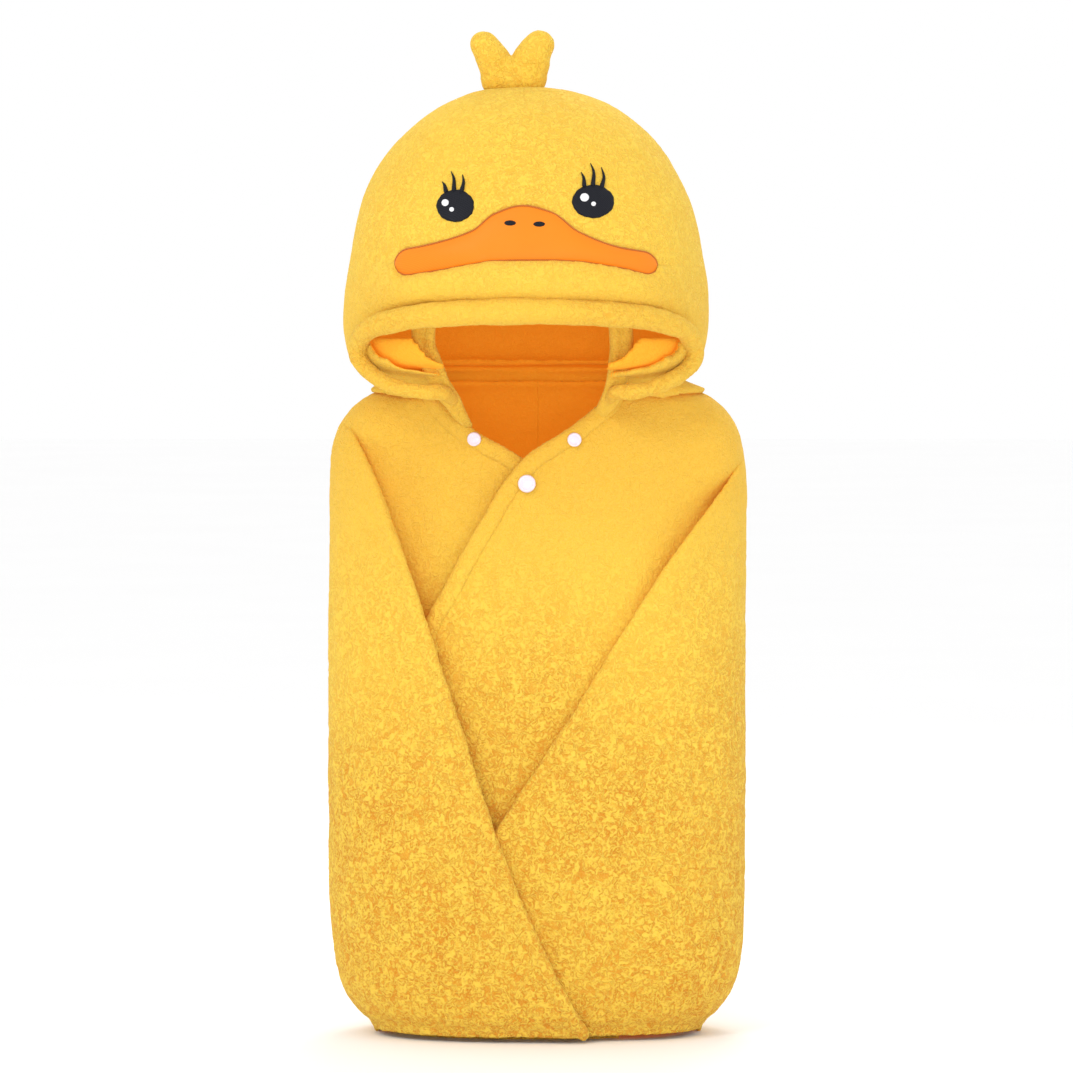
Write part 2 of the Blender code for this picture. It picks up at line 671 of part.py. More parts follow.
def make_bill():
    left, right = BILL[0][0], BILL[-1][0]
    bm, at = grid(BILL_COLUMNS, BILL_ROWS)
    for v, (i, j) in at.items():
        x = left + (right - left) * (1.0 - math.cos(math.pi * i / BILL_COLUMNS)) / 2.0
        low, high = bill_edges(x)
        v.co = on_hood(x, low + (high - low) * j / BILL_ROWS, GAP + BILL_CLOTH)
    solidify(add_mesh("bill_patch", bm, "bill"), BILL_CLOTH)
    around = []
    for i in range(STITCH_POINTS):
        angle = 2.0 * math.pi * i / STITCH_POINTS
        x = (left + right) / 2 + (right - left) / 2 * math.cos(angle)
        low, high = bill_edges(x)
        z = (low + high) / 2 + (high - low) / 2 * math.copysign(1.0, math.sin(angle))
        around.append(Vector((x, z)))
    outline = []
    for i, p in enumerate(around):
        along = (around[(i + 1) % STITCH_POINTS] - around[i - 1]).normalized()
        q = p + Vector((along.y, -along.x)) * STITCH_BESIDE
        at_hood = on_hood(q.x, q.y, GAP + STITCH_RADIUS)
        outline.append((at_hood.x, at_hood.y, at_hood.z, STITCH_RADIUS))
    tube("bill_edge_stitch", outline, "bill", resolution=1, cyclic=True)


def lens(name, x, z, half_width, half_height, thickness, lift, looks, segments=18):
    """Flat bead shaped to the hood's face."""
    bm = bmesh.new()
    bmesh.ops.create_uvsphere(bm, u_segments=segments, v_segments=max(6, segments // 3), radius=1.0)
    for v in bm.verts:
        height = lift + thickness * (1.0 + v.co.z) / 2.0
        v.co = on_hood(x + v.co.x * half_width, z + v.co.y * half_height, height)
    return add_mesh(name, bm, looks)


def make_face():
    for side, (x, z, half_width, half_height) in EYES.items():
        lens("eye_" + side, x, z, half_width, half_height, EYE_THICK, GAP, "embroidery")
        for number, (hx, hz, radius) in enumerate(HIGHLIGHTS[side], 1):
            lens(f"eye_{side}_highlight_{number}", hx, hz, radius, radius, HIGHLIGHT_THICK,
                 EYE_THICK + 2 * GAP, "white_thread", SMALL_BEAD_SIDES)
        for number, lash in enumerate(LASHES[side], 1):
            path = []
            for k, (px, pz) in enumerate(smooth_path(lash, 3)):
                radius = LASH_RADIUS * (1.0 - LASH_TAPER * k)
                p = on_hood(px, pz, GAP + LASH_RADIUS)
                path.append((p.x, p.y, p.z, radius))
            tube(f"lash_{side}_{number}", path, "embroidery", resolution=1)
    for side, (x, z) in NOSTRILS.items():
        lens("nostril_" + side, x, z, *NOSTRIL_SIZE, NOSTRILS_THICK, BILL_CLOTH + 2 * GAP, "embroidery",
             SMALL_BEAD_SIDES)


def make_crest():
    """Stuffed crest of two lobes on a base that is round about the X axis, so that it can flop over the crown."""
    x, z = CREST_MIDDLE
    half_length, radius = CREST_BASE
    pieces = []
    shapes = [("crest_tuft", x, z, half_length, radius, radius, 0.0)]
    for number, (lx, lz, wide, tall, tilt) in enumerate(CREST_LOBES, 1):
        shapes.append((f"crest_lobe_{number}", lx, lz, wide, CREST_LOBE_DEPTH, tall, tilt))
    for name, cx, cz, sx, sy, sz, tilt in shapes:
        bm = bmesh.new()
        bmesh.ops.create_uvsphere(bm, u_segments=16, v_segments=10, radius=1.0)
        bmesh.ops.scale(bm, vec=(sx, sy, sz), verts=bm.verts)
        bmesh.ops.rotate(bm, matrix=Matrix.Rotation(math.radians(tilt), 3, "Y"), verts=bm.verts)
        bmesh.ops.translate(bm, vec=(cx - x, 0.0, cz - z), verts=bm.verts)
        first = name == "crest_tuft"
        made = add_mesh(name, bm, "fleece" if first else None, COLLECTION if first else CUTTERS)
        made.location = (x, 0.0, z)
        pieces.append(made)
    for lobe in pieces[1:]:
        as_cutter(lobe)
        join = pieces[0].modifiers.new("join_" + lobe.name, "BOOLEAN")
        join.operation = "UNION"
        join.solver = "EXACT"
        join.object = lobe


# Snap fasteners

def front_frame(x, z, inside):
    """Matrix at a point of the front: its Z axis points out of the cloth."""
    d = 0.002
    across = front_point(x + d, z, inside(x + d, z)) - front_point(x - d, z, inside(x - d, z))
    up = front_point(x, z + d, inside(x, z + d)) - front_point(x, z - d, inside(x, z - d))
    out = across.cross(up).normalized()
    across = across.normalized()
    up = out.cross(across)
    turn = Matrix((across, up, out)).transposed().to_4x4()
    return Matrix.Translation(front_point(x, z, inside(x, z))) @ turn


def turned(name, profile, frame, height, looks):
    """Turned piece from (radius, height) points down its outer side, standing on the cloth."""
    bm = bmesh.new()
    verts = [bm.verts.new((r, 0.0, h)) for r, h in profile]
    for a, b in zip(verts, verts[1:]):
        bm.edges.new((a, b))
    made = add_mesh(name, bm, looks)
    made.matrix_world = frame @ Matrix.Translation((0.0, 0.0, height))
    screw = made.modifiers.new("turn", "SCREW")
    screw.steps = SNAP_SIDES
    screw.render_steps = SNAP_SIDES
    screw.use_merge_vertices = True
    screw.merge_threshold = MERGE
    screw.use_smooth_shade = True
    return made


def cap_profile(radius, thickness):
    """Domed cap, flat below."""
    return [(0.0, thickness), (radius * 0.55, thickness * 0.92), (radius * 0.88, thickness * 0.62),
            (radius, thickness * 0.25), (radius * 0.97, 0.0), (0.0, 0.0)]


def make_snaps():
    """The centre snap, fastened through both fronts, and the spare snap of the wider setting on each neck band."""
    cap = cap_profile(SNAP_CAP_RADIUS, SNAP_CAP_THICK)
    back = [(r, h * SNAP_BACK_SHARE) for r, h in cap]
    over = front_frame(*CENTRE_SNAP, right_front_inside)
    under_right = -(CLOTH + GAP)
    above_cloth = BAND_PROUD + GAP
    behind = Matrix.Rotation(math.pi, 4, "X")
    turned("snap_cap_centre", cap, over, above_cloth, "snap_plastic")
    turned("snap_socket_centre", SNAP_SOCKET, over, under_right - SNAP_SOCKET_THICK, "snap_plastic")
    turned("snap_stud_centre", SNAP_STUD, over, -SNAP_ROOM + above_cloth, "snap_plastic")
    turned("snap_stud_cap_centre", back, over @ behind, SNAP_ROOM + CLOTH + GAP, "snap_plastic")
    side_cap = [(r * SIDE_SNAP_SHARE, h) for r, h in cap]
    side_back = [(r * SIDE_SNAP_SHARE, h) for r, h in back]
    for side, place, inside in (("left", LEFT_SNAP, left_front_inside), ("right", RIGHT_SNAP, right_front_inside)):
        frame = front_frame(*place, inside)
        turned(f"snap_cap_{side}", side_cap, frame, above_cloth, "snap_plastic")
        turned(f"snap_back_{side}", side_back, frame @ behind, CLOTH + GAP, "snap_plastic")


def main():
    clear_scene()
    make_back()
    make_left_front()
    make_right_front()
    make_wraps()
    make_hood()
    make_bill()
    make_face()
    make_crest()
    make_snaps()
    for made in bpy.data.objects:
        made.location.y += STAND_Y


main()
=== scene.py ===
import math

import bmesh
import bpy
import numpy as np
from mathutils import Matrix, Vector


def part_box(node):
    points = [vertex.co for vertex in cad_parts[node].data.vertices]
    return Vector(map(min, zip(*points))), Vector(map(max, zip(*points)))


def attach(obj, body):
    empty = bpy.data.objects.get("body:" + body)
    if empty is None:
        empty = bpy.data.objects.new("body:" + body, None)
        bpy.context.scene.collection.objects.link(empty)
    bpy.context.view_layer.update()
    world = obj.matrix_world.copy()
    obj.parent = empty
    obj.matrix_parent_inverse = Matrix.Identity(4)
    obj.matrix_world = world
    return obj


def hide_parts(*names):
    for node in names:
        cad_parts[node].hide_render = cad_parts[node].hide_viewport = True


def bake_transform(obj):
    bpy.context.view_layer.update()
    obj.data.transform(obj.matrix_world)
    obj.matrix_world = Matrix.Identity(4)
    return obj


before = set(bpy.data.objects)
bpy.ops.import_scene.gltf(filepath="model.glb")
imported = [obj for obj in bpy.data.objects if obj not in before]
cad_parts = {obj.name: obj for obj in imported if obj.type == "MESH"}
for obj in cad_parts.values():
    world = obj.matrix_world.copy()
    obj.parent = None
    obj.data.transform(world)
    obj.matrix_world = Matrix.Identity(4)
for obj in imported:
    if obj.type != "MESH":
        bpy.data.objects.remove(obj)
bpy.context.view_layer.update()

# ---- sizes, in metres, in the frame of the CAD
STAND_Y = 0.0122
BODY_PROFILE = (
    (0.0, 0.113, 0.06), (0.005, 0.113, 0.06), (0.016, 0.1235, 0.0665), (0.03, 0.1325, 0.0705),
    (0.05, 0.138, 0.0735), (0.12, 0.1428, 0.0765), (0.25, 0.1428, 0.076), (0.36, 0.1428, 0.071),
    (0.392, 0.142, 0.0665), (0.411, 0.1387, 0.0625), (0.428, 0.129, 0.0575), (0.44, 0.112, 0.0525),
    (0.4445, 0.092, 0.049), (0.448, 0.074, 0.045),
)
BODY_ROUNDNESS = 2.3
BODY_Y = 0.012 + STAND_Y
CLOTH = 0.004
RIGHT_WRAP_DEPTH = 0.0065
RIGHT_FRONT_DEPTH = 0.012
NECK_RISE = 0.007
SNAP_ROOM = 0.0085
UNDER_WRAP_DEPTH = 0.008
WRAP_OVERLAP = 0.007
UNDERLAP = 0.03
BAND = 0.012
LEFT_WRAP_EDGE = ((-0.134, 0.424), (-0.129, 0.417), (-0.0986, 0.343), (-0.0626, 0.236), (-0.0306, 0.138),
                  (-0.0007, 0.065), (0.032, 0.004), (0.0345, 0.0))
RIGHT_WRAP_EDGE = ((0.142, 0.4), (0.134, 0.386), (0.122, 0.368), (0.0843, 0.316), (0.0238, 0.22), (-0.0306, 0.138),
                   (-0.064, 0.09))
RIGHT_FRONT_EDGE = ((0.047, 0.439), (0.024, 0.421), (-0.01, 0.398), (-0.0415, 0.352), (-0.066, 0.308),
                    (-0.1, 0.25))
LEFT_NECK_EDGE = ((-0.07, 0.447), (-0.064, 0.436), (-0.049, 0.421), (-0.01, 0.398), (0.012, 0.382))
LEFT_WRAP_TOP = 0.4235
RIGHT_WRAP_TOP = 0.3995
NECK_TOP = 0.4475
BACK_TOP = 0.448

HOOD_X = -0.008
HOOD_PROFILE = (
    (0.4535, 0.072, 0.07, 0.06), (0.452, 0.095, 0.085, 0.068), (0.456, 0.112, 0.098, 0.078),
    (0.47, 0.121, 0.108, 0.088), (0.49, 0.1238, 0.114, 0.094), (0.51, 0.1235, 0.1155, 0.097),
    (0.53, 0.1215, 0.114, 0.098), (0.566, 0.114, 0.106, 0.094), (0.596, 0.1, 0.092, 0.083),
    (0.62, 0.08, 0.073, 0.068), (0.638, 0.053, 0.048, 0.046), (0.646, 0.027, 0.025, 0.024),
    (0.648, 0.0, 0.0, 0.0),
)
HOOD_ROUNDNESS = 2.15
BRIM_PATH = (
    (-0.0545, -0.04, 0.432, 0.0036), (-0.059, -0.056, 0.4385, 0.0044), (-0.065, -0.069, 0.442, 0.005),
    (-0.08, -0.072, 0.443, 0.0052), (-0.101, -0.064, 0.448, 0.0055), (-0.118, -0.052, 0.46, 0.006),
    (-0.121, -0.054, 0.474, 0.0066), (-0.108, -0.078, 0.487, 0.0076), (-0.07, -0.102, 0.4945, 0.0086),
    (-0.008, -0.1135, 0.497, 0.009), (0.054, -0.102, 0.4945, 0.0086), (0.092, -0.078, 0.487, 0.0076),
    (0.105, -0.054, 0.474, 0.0066), (0.102, -0.052, 0.46, 0.006), (0.085, -0.064, 0.448, 0.0055),
    (0.066, -0.072, 0.443, 0.0052), (0.053, -0.069, 0.442, 0.005), (0.049, -0.056, 0.4385, 0.0044),
    (0.045, -0.04, 0.432, 0.0036),
)
FACE_PATH = (
    (-0.0455, -0.03, 0.417, 0.002), (-0.0525, -0.04, 0.426, 0.004), (-0.058, -0.05, 0.436, 0.0052),
    (-0.065, -0.06, 0.446, 0.0058), (-0.071, -0.0655, 0.46, 0.0062), (-0.077, -0.07, 0.478, 0.0068),
    (-0.07, -0.08, 0.508, 0.0065), (-0.042, -0.09, 0.532, 0.006), (-0.008, -0.0935, 0.54, 0.006),
    (0.026, -0.09, 0.532, 0.006), (0.05, -0.08, 0.508, 0.0065), (0.056, -0.07, 0.478, 0.0068),
    (0.0545, -0.0655, 0.46, 0.0062), (0.052, -0.06, 0.446, 0.0058), (0.048, -0.05, 0.436, 0.0052),
    (0.043, -0.041, 0.429, 0.004), (0.036, -0.033, 0.422, 0.002),
)
BILL_END = 0.0088
BILL = (
    (-0.0945, 0.52, 0.5362), (-0.07, 0.5235, 0.541), (-0.043, 0.5285, 0.55), (-0.029, 0.5305, 0.561),
    (-0.01, 0.531, 0.5665), (0.009, 0.531, 0.562), (0.0265, 0.53, 0.549), (0.052, 0.526, 0.539),
    (0.078, 0.5198, 0.5345),
)
EYES = {"left": (-0.0551, 0.567, 0.0126, 0.0109), "right": (0.0367, 0.5698, 0.014, 0.0112)}
LASHES = {
    "left": (((-0.0615, 0.577), (-0.0625, 0.5808), (-0.064, 0.5832)),
             ((-0.056, 0.5775), (-0.0562, 0.585), (-0.0582, 0.5902)),
             ((-0.0508, 0.577), (-0.0496, 0.5828), (-0.0504, 0.5878))),
    "right": (((0.0308, 0.5805), (0.0304, 0.5855), (0.0288, 0.5892)),
              ((0.0366, 0.581), (0.0372, 0.5892), (0.035, 0.5952)),
              ((0.0426, 0.58), (0.044, 0.5862), (0.0424, 0.5925))),
}
HIGHLIGHTS = {
    "left": ((-0.0612, 0.5685, 0.0024), (-0.0568, 0.564, 0.0016)),
    "right": ((0.0306, 0.5719, 0.0029), (0.0364, 0.5676, 0.0016)),
}
NOSTRILS = {"left": (-0.0184, 0.5549), "right": (0.0007, 0.5542)}

HEM_LOW = -0.0018
SEAM_DEPTH = 0.0005
VOXEL = 0.0019

# ---- plain maths


def step(value, start, end):
    """0 before start, 1 after end, and a smooth rise between. Works on numbers and arrays."""
    t = np.clip((value - start) / (end - start), 0.0, 1.0)
    return t * t * (3.0 - 2.0 * t)


def smooth_curve(keys, values, at):
    """Smooth curve through (key, value) points that doesn't overshoot them, for an array of places."""
    keys = np.asarray(keys, float)
    values = np.asarray(values, float)
    h = np.diff(keys)
    slope = np.diff(values) / h
    m = np.zeros(len(keys))
    m[0], m[-1] = slope[0], slope[-1]
    for i in range(1, len(keys) - 1):
        if slope[i - 1] * slope[i] > 0:
            w1 = 2 * h[i] + h[i - 1]
            w2 = h[i] + 2 * h[i - 1]
            m[i] = (w1 + w2) / (w1 / slope[i - 1] + w2 / slope[i])
    at = np.asarray(at, float)
    i = np.clip(np.searchsorted(keys, at) - 1, 0, len(keys) - 2)
    t = np.clip((at - keys[i]) / h[i], 0.0, 1.0)
    a = (1 + 2 * t) * (1 - t) ** 2
    b = t * (1 - t) ** 2
    c = t * t * (3 - 2 * t)
    d = t * t * (t - 1)
    return a * values[i] + b * h[i] * m[i] + c * values[i + 1] + d * h[i] * m[i + 1]


def hashed(ix, iy, iz, seed):
    """A repeatable number from 0 to 1 at each corner of a grid."""
    n = (ix * 73856093) ^ (iy * 19349663) ^ (iz * 83492791) ^ (seed * 2654435761)
    n = (n ^ (n >> 13)) * 1274126177
    n = n ^ (n >> 16)
    return (n & 0xFFFF) / 65535.0


def noise(points, size, seed):
    """Smooth random values from -1 to 1 at points, with lumps about size across. size may differ per axis."""
    p = points / np.asarray(size, float)
    base = np.floor(p).astype(np.int64)
    f = p - base
    f = f * f * (3.0 - 2.0 * f)
    total = np.zeros(len(p))
    for dx in (0, 1):
        for dy in (0, 1):
            for dz in (0, 1):
                corner = hashed(base[:, 0] + dx, base[:, 1] + dy, base[:, 2] + dz, seed)
                weight = ((f[:, 0] if dx else 1 - f[:, 0]) * (f[:, 1] if dy else 1 - f[:, 1])
                          * (f[:, 2] if dz else 1 - f[:, 2]))
                total += corner * weight
    return total * 2.0 - 1.0


# ---- the cloth body's shape

BODY_Z = [p[0] for p in BODY_PROFILE]


def body_width(z):
    return smooth_curve(BODY_Z, [p[1] for p in BODY_PROFILE], z)


def body_depth(z):
    return smooth_curve(BODY_Z, [p[2] for p in BODY_PROFILE], z)


def section_points(angle, z, inside):
    """Points of the body's section, from the left side (0) over the front (90 degrees) to the right side."""
    power = 2.0 / BODY_ROUNDNESS
    c, s = np.cos(angle), np.sin(angle)
    x = -(body_width(z) - inside) * np.sign(c) * np.abs(c) ** power
    y = -(body_depth(z) - inside) * np.sign(s) * np.abs(s) ** power
    return np.stack([x, BODY_Y + y, np.broadcast_to(z, x.shape)], axis=-1)


def section_angle(x, z, inside):
    share = np.clip(x / (body_width(z) - inside), -1.0, 1.0)
    return np.arccos(-np.sign(share) * np.abs(share) ** (BODY_ROUNDNESS / 2.0))


def edge_x(edge, z):
    points = sorted(edge, key=lambda p: p[1])
    return smooth_curve([p[1] for p in points], [p[0] for p in points], z)


def left_wrap_inside(x, z):
    return -0.0028 * step(x - left_wrap_edge(z), -0.034, -0.004) * (1.0 - step(z, 0.36, 0.42))


def right_wrap_inside(x, z):
    rise = 0.0018 * (1.0 - step(x - right_wrap_edge(z), 0.004, 0.034))
    return RIGHT_WRAP_DEPTH * (1.0 - step(x, 0.05, 0.1)) - rise * (1.0 - step(z, 0.34, 0.4))


def right_front_inside(x, z):
    depth = RIGHT_FRONT_DEPTH - NECK_RISE * step(z, 0.36, 0.43)
    shoulder = step(z, 0.36, 0.396) * step(x, 0.1, 0.13)
    return SEAM_DEPTH + depth * (1.0 - step(z, 0.424, 0.445)) * (1.0 - shoulder)


def left_front_inside(x, z):
    under = RIGHT_FRONT_DEPTH - NECK_RISE * step(z, 0.36, 0.43) + SNAP_ROOM
    depth = UNDER_WRAP_DEPTH + (under - UNDER_WRAP_DEPTH) * step(x, -0.13, -0.1)
    shoulder = step(z, 0.392, 0.422) * step(-x, 0.08, 0.12)
    return SEAM_DEPTH + depth * (1.0 - step(z, 0.412, 0.442)) * (1.0 - shoulder)


def left_wrap_edge(z):
    return edge_x(LEFT_WRAP_EDGE, z)


def under_left_wrap(z):
    return left_wrap_edge(z) - WRAP_OVERLAP


def right_wrap_edge(z):
    return np.maximum(edge_x(RIGHT_WRAP_EDGE, z), under_left_wrap(z))


def right_front_edge(z):
    return np.maximum(edge_x(RIGHT_FRONT_EDGE, z), under_left_wrap(z))


def left_front_edge(z):
    x, top = LEFT_NECK_EDGE[-1]
    return np.minimum(right_front_edge(z) + UNDERLAP, x - BAND / 2 + (top - BAND - z) * 2.0)


def body_out(points):
    """Unit directions out of the cloth body, level, at points near its surface."""
    width = body_width(points[:, 2])
    depth = body_depth(points[:, 2])
    out = np.stack([points[:, 0] / width ** 2, (points[:, 1] - BODY_Y) / depth ** 2, np.zeros(len(points))], axis=1)
    return out / np.maximum(np.linalg.norm(out, axis=1), 1e-9)[:, None]


# ---- the hood's shape

HOOD_KEYS = [(p[0], p[1]) for p in reversed(HOOD_PROFILE)]
HOOD_SHARES = [0.0]
for one, two in zip(HOOD_KEYS, HOOD_KEYS[1:]):
    HOOD_SHARES.append(HOOD_SHARES[-1] + math.dist(one, two))
HOOD_SHARES = [s / HOOD_SHARES[-1] for s in HOOD_SHARES]


def hood_value(share, column):
    return smooth_curve(HOOD_SHARES, [p[column] for p in reversed(HOOD_PROFILE)], share)


def hood_points(share, angle, inside):
    """Points of the hood: share 0 is the crown and 1 the neck rim, and angle -90 degrees is the front."""
    power = 2.0 / HOOD_ROUNDNESS
    before, after = np.maximum(share - 0.01, 0.0), np.minimum(share + 0.01, 1.0)
    across = hood_value(after, 1) - hood_value(before, 1)
    down = hood_value(after, 0) - hood_value(before, 0)
    length = np.hypot(across, down)
    inward = inside * -down / length
    c, s = np.cos(angle), np.sin(angle)
    wide = np.maximum(hood_value(share, 1) - inward, 0.0)
    reach = np.where(s < 0, hood_value(share, 2), hood_value(share, 3))
    reach = np.maximum(reach - inward, 0.0)
    x = wide * np.sign(c) * np.abs(c) ** power
    y = reach * np.sign(s) * np.abs(s) ** power
    z = hood_value(share, 0) - inside * across / length
    return np.stack([HOOD_X + x, STAND_Y + y, z], axis=-1)


def hood_front_y(x, z):
    """y of the hood's outer face in front, above the brim."""
    x, z = np.broadcast_arrays(np.asarray(x, float), np.asarray(z, float))
    crown, brim = np.zeros(z.shape), np.full(z.shape, HOOD_SHARES[-3])
    for _ in range(30):
        share = (crown + brim) / 2.0
        higher = hood_value(share, 0) > z
        crown = np.where(higher, share, crown)
        brim = np.where(higher, brim, share)
    off = np.minimum(np.abs(x - HOOD_X) / hood_value(share, 1), 0.999)
    return STAND_Y - hood_value(share, 2) * (1.0 - off ** HOOD_ROUNDNESS) ** (1.0 / HOOD_ROUNDNESS)


def hood_softness(points):
    """How far the hood's stuffing of air and its seams push its face out or let it in."""
    return 0.0018 * noise(points, (0.075, 0.075, 0.06), 51) + 0.0008 * noise(points, 0.032, 52)


def on_hood(x, z, height):
    """Points a height off the hood's soft face, along its normal."""
    x, z, height = np.broadcast_arrays(np.asarray(x, float), np.asarray(z, float), np.asarray(height, float))
    d = 0.001
    across = (hood_front_y(x + d, z) - hood_front_y(x - d, z)) / (2 * d)
    up = (hood_front_y(x, z + d) - hood_front_y(x, z - d)) / (2 * d)
    out = np.stack([across, -np.ones(x.shape), up], axis=-1)
    out /= np.linalg.norm(out, axis=-1)[..., None]
    base = np.stack([x, hood_front_y(x, z), z], axis=-1)
    height = height + hood_softness(base.reshape(-1, 3)).reshape(x.shape)
    return base + out * height[..., None]


def bill_edge(x, column):
    """Height of the bill's lower (1) or upper (2) edge, which meet in a rounded end on each side."""
    keys = [p[0] for p in BILL]
    low, high = (smooth_curve(keys, [p[c] for p in BILL], x) for c in (1, 2))
    into = np.minimum(np.minimum(x - keys[0], keys[-1] - x) / BILL_END, 1.0)
    share = np.sqrt(np.clip(1.0 - (1.0 - np.clip(into, 0.0, 1.0)) ** 2, 0.0, 1.0))
    return (low + high) / 2.0 + (low - high) / 2.0 * share * (1 if column == 1 else -1)


def bill_low(x):
    return bill_edge(x, 1)


def bill_high(x):
    return bill_edge(x, 2)


def path_points(path, steps):
    """Points along a smooth curve through the path's own, with their radius, moved to where the towel stands."""
    p = [np.asarray(q, float) for q in path]
    p = [2 * p[0] - p[1]] + p + [2 * p[-1] - p[-2]]
    out = []
    for i in range(1, len(p) - 2):
        for k in range(steps):
            t = k / steps
            out.append(0.5 * (2 * p[i] + (p[i + 1] - p[i - 1]) * t
                              + (2 * p[i - 1] - 5 * p[i] + 4 * p[i + 1] - p[i + 2]) * t * t
                              + (3 * p[i] - p[i - 1] - 3 * p[i + 1] + p[i + 2]) * t ** 3))
    out.append(p[-2])
    out = np.array(out)
    if out.shape[1] == 4:
        out[:, 1] += STAND_Y
    return out


# ---- meshes

WELD = 0.00002


def rework(data, change):
    """Runs change on a mesh, opened as a bmesh."""
    bm = bmesh.new()
    bm.from_mesh(data)
    change(bm)
    bm.to_mesh(data)
    bm.free()


def weld(bm, distance=WELD):
    bmesh.ops.remove_doubles(bm, verts=bm.verts, dist=distance)


def face_out(bm):
    bmesh.ops.recalc_face_normals(bm, faces=bm.faces)


def add_object(name, data):
    made = bpy.data.objects.new(name, data)
    bpy.context.scene.collection.objects.link(made)
    return made


def quads(rows, columns, keep=None):
    """Corners of the faces of a grid, without those that keep(row, column) drops."""
    return [(a, a + 1, a + columns + 1, a + columns) for j in range(rows - 1) for i in range(columns - 1)
            for a in [j * columns + i] if keep is None or keep(j, i)]


def grid_mesh(points, name, keep=None):
    """Mesh of a (rows, columns, 3) array of points, without the faces that keep(row, column) drops."""
    data = bpy.data.meshes.new(name)
    data.from_pydata(points.reshape(-1, 3).tolist(), [], quads(*points.shape[:2], keep))

    def clean(bm):
        bmesh.ops.delete(bm, geom=[v for v in bm.verts if not v.link_faces], context="VERTS")
        weld(bm)

    rework(data, clean)
    return data


def scratch(data):
    return add_object("scratch", data)


def evaluated(made, name):
    """The object's mesh with its modifiers applied, in a new object; the old one goes."""
    bpy.context.view_layer.update()
    data = bpy.data.meshes.new_from_object(made.evaluated_get(bpy.context.evaluated_depsgraph_get()))
    data.transform(made.matrix_world)
    bpy.data.objects.remove(made)
    return add_object(name, data)


def thick(data, thickness):
    """Closed mesh of an open one, its cloth lying inside its face."""
    made = scratch(data)
    shell = made.modifiers.new("cloth", "SOLIDIFY")
    shell.thickness = thickness
    shell.offset = -1.0
    shell.use_even_offset = True
    shell.use_quality_normals = True
    return evaluated(made, "scratch")


def tube_mesh(points, sides=16):
    """Closed round tube with domed ends along (x, y, z, radius) points, as an object."""
    p = np.asarray(points, float)
    caps = 5
    first, last = p[0], p[-1]
    start_dir, end_dir = (d / np.linalg.norm(d) for d in (p[0, :3] - p[1, :3], p[-1, :3] - p[-2, :3]))
    head, tail = [], []
    for k in range(1, caps + 1):
        a = math.pi / 2 * k / caps
        reach, round_ = math.sin(a), max(math.cos(a), 0.02)
        head.append(np.append(first[:3] + start_dir * first[3] * reach, first[3] * round_))
        tail.append(np.append(last[:3] + end_dir * last[3] * reach, last[3] * round_))
    p = np.array(head[::-1] + list(p) + tail)
    along = np.gradient(p[:, :3], axis=0)
    along /= np.linalg.norm(along, axis=1)[:, None]
    side = np.cross(along, (0.0, 0.0, 1.0))
    side_length = np.linalg.norm(side, axis=1)
    side[side_length < 0.2] = np.cross(along[side_length < 0.2], (0.0, 1.0, 0.0))
    side /= np.linalg.norm(side, axis=1)[:, None]
    for i in range(1, len(side)):
        flat = side[i - 1] - along[i] * (side[i - 1] @ along[i])
        side[i] = flat / np.linalg.norm(flat)
    up = np.cross(side, along)
    turn = np.linspace(0.0, 2 * np.pi, sides, endpoint=False)
    rings = (p[:, None, :3] + p[:, None, 3:4] * (np.cos(turn)[None, :, None] * side[:, None, :]
                                                 + np.sin(turn)[None, :, None] * up[:, None, :]))
    count = len(p)
    verts = rings.reshape(-1, 3).tolist()
    faces = []
    for j in range(count - 1):
        for i in range(sides):
            k = (i + 1) % sides
            faces.append((j * sides + i, j * sides + k, (j + 1) * sides + k, (j + 1) * sides + i))
    faces.append(tuple(range(sides))[::-1])
    faces.append(tuple((count - 1) * sides + i for i in range(sides)))
    data = bpy.data.meshes.new("tube")
    data.from_pydata(verts, [], faces)
    rework(data, face_out)
    return scratch(data)


def join(objects, name):
    """One object with every mesh given, which may run into each other."""
    bm = bmesh.new()
    for o in objects:
        bm.from_mesh(o.data)
        bpy.data.objects.remove(o)
    data = bpy.data.meshes.new(name)
    bm.to_mesh(data)
    bm.free()
    return scratch(data)


def melt(objects, name, voxel=None, rounds=6):
    """One soft closed mesh of even grain around all of the meshes given."""
    made = join(objects, name)
    remesh = made.modifiers.new("even", "REMESH")
    remesh.mode = "VOXEL"
    remesh.voxel_size = voxel or VOXEL
    relax = made.modifiers.new("round", "SMOOTH")
    relax.factor = 0.5
    relax.iterations = rounds
    made = evaluated(made, name)
    made.data.shade_smooth()
    return made


def triples(elements, key):
    out = np.zeros(len(elements) * 3, np.float32)
    elements.foreach_get(key, out)
    return out.reshape(-1, 3)


def coords(made):
    return triples(made.data.vertices, "co").astype(float)


def normals(made):
    return triples(made.data.vertex_normals, "vector").astype(float)


def set_coords(made, points):
    made.data.vertices.foreach_set("co", points.astype(np.float32).ravel())
    made.data.update()


def push_out(made, distance):
    """Moves each vertex along its normal."""
    set_coords(made, coords(made) + normals(made) * distance[:, None])


def set_value(made, name, values):
    """A number at each vertex, which the materials read."""
    attribute = made.data.attributes.get(name) or made.data.attributes.new(name, "FLOAT", "POINT")
    attribute.data.foreach_set("value", values.astype(np.float32))


PILE_HEIGHT = 0.0005


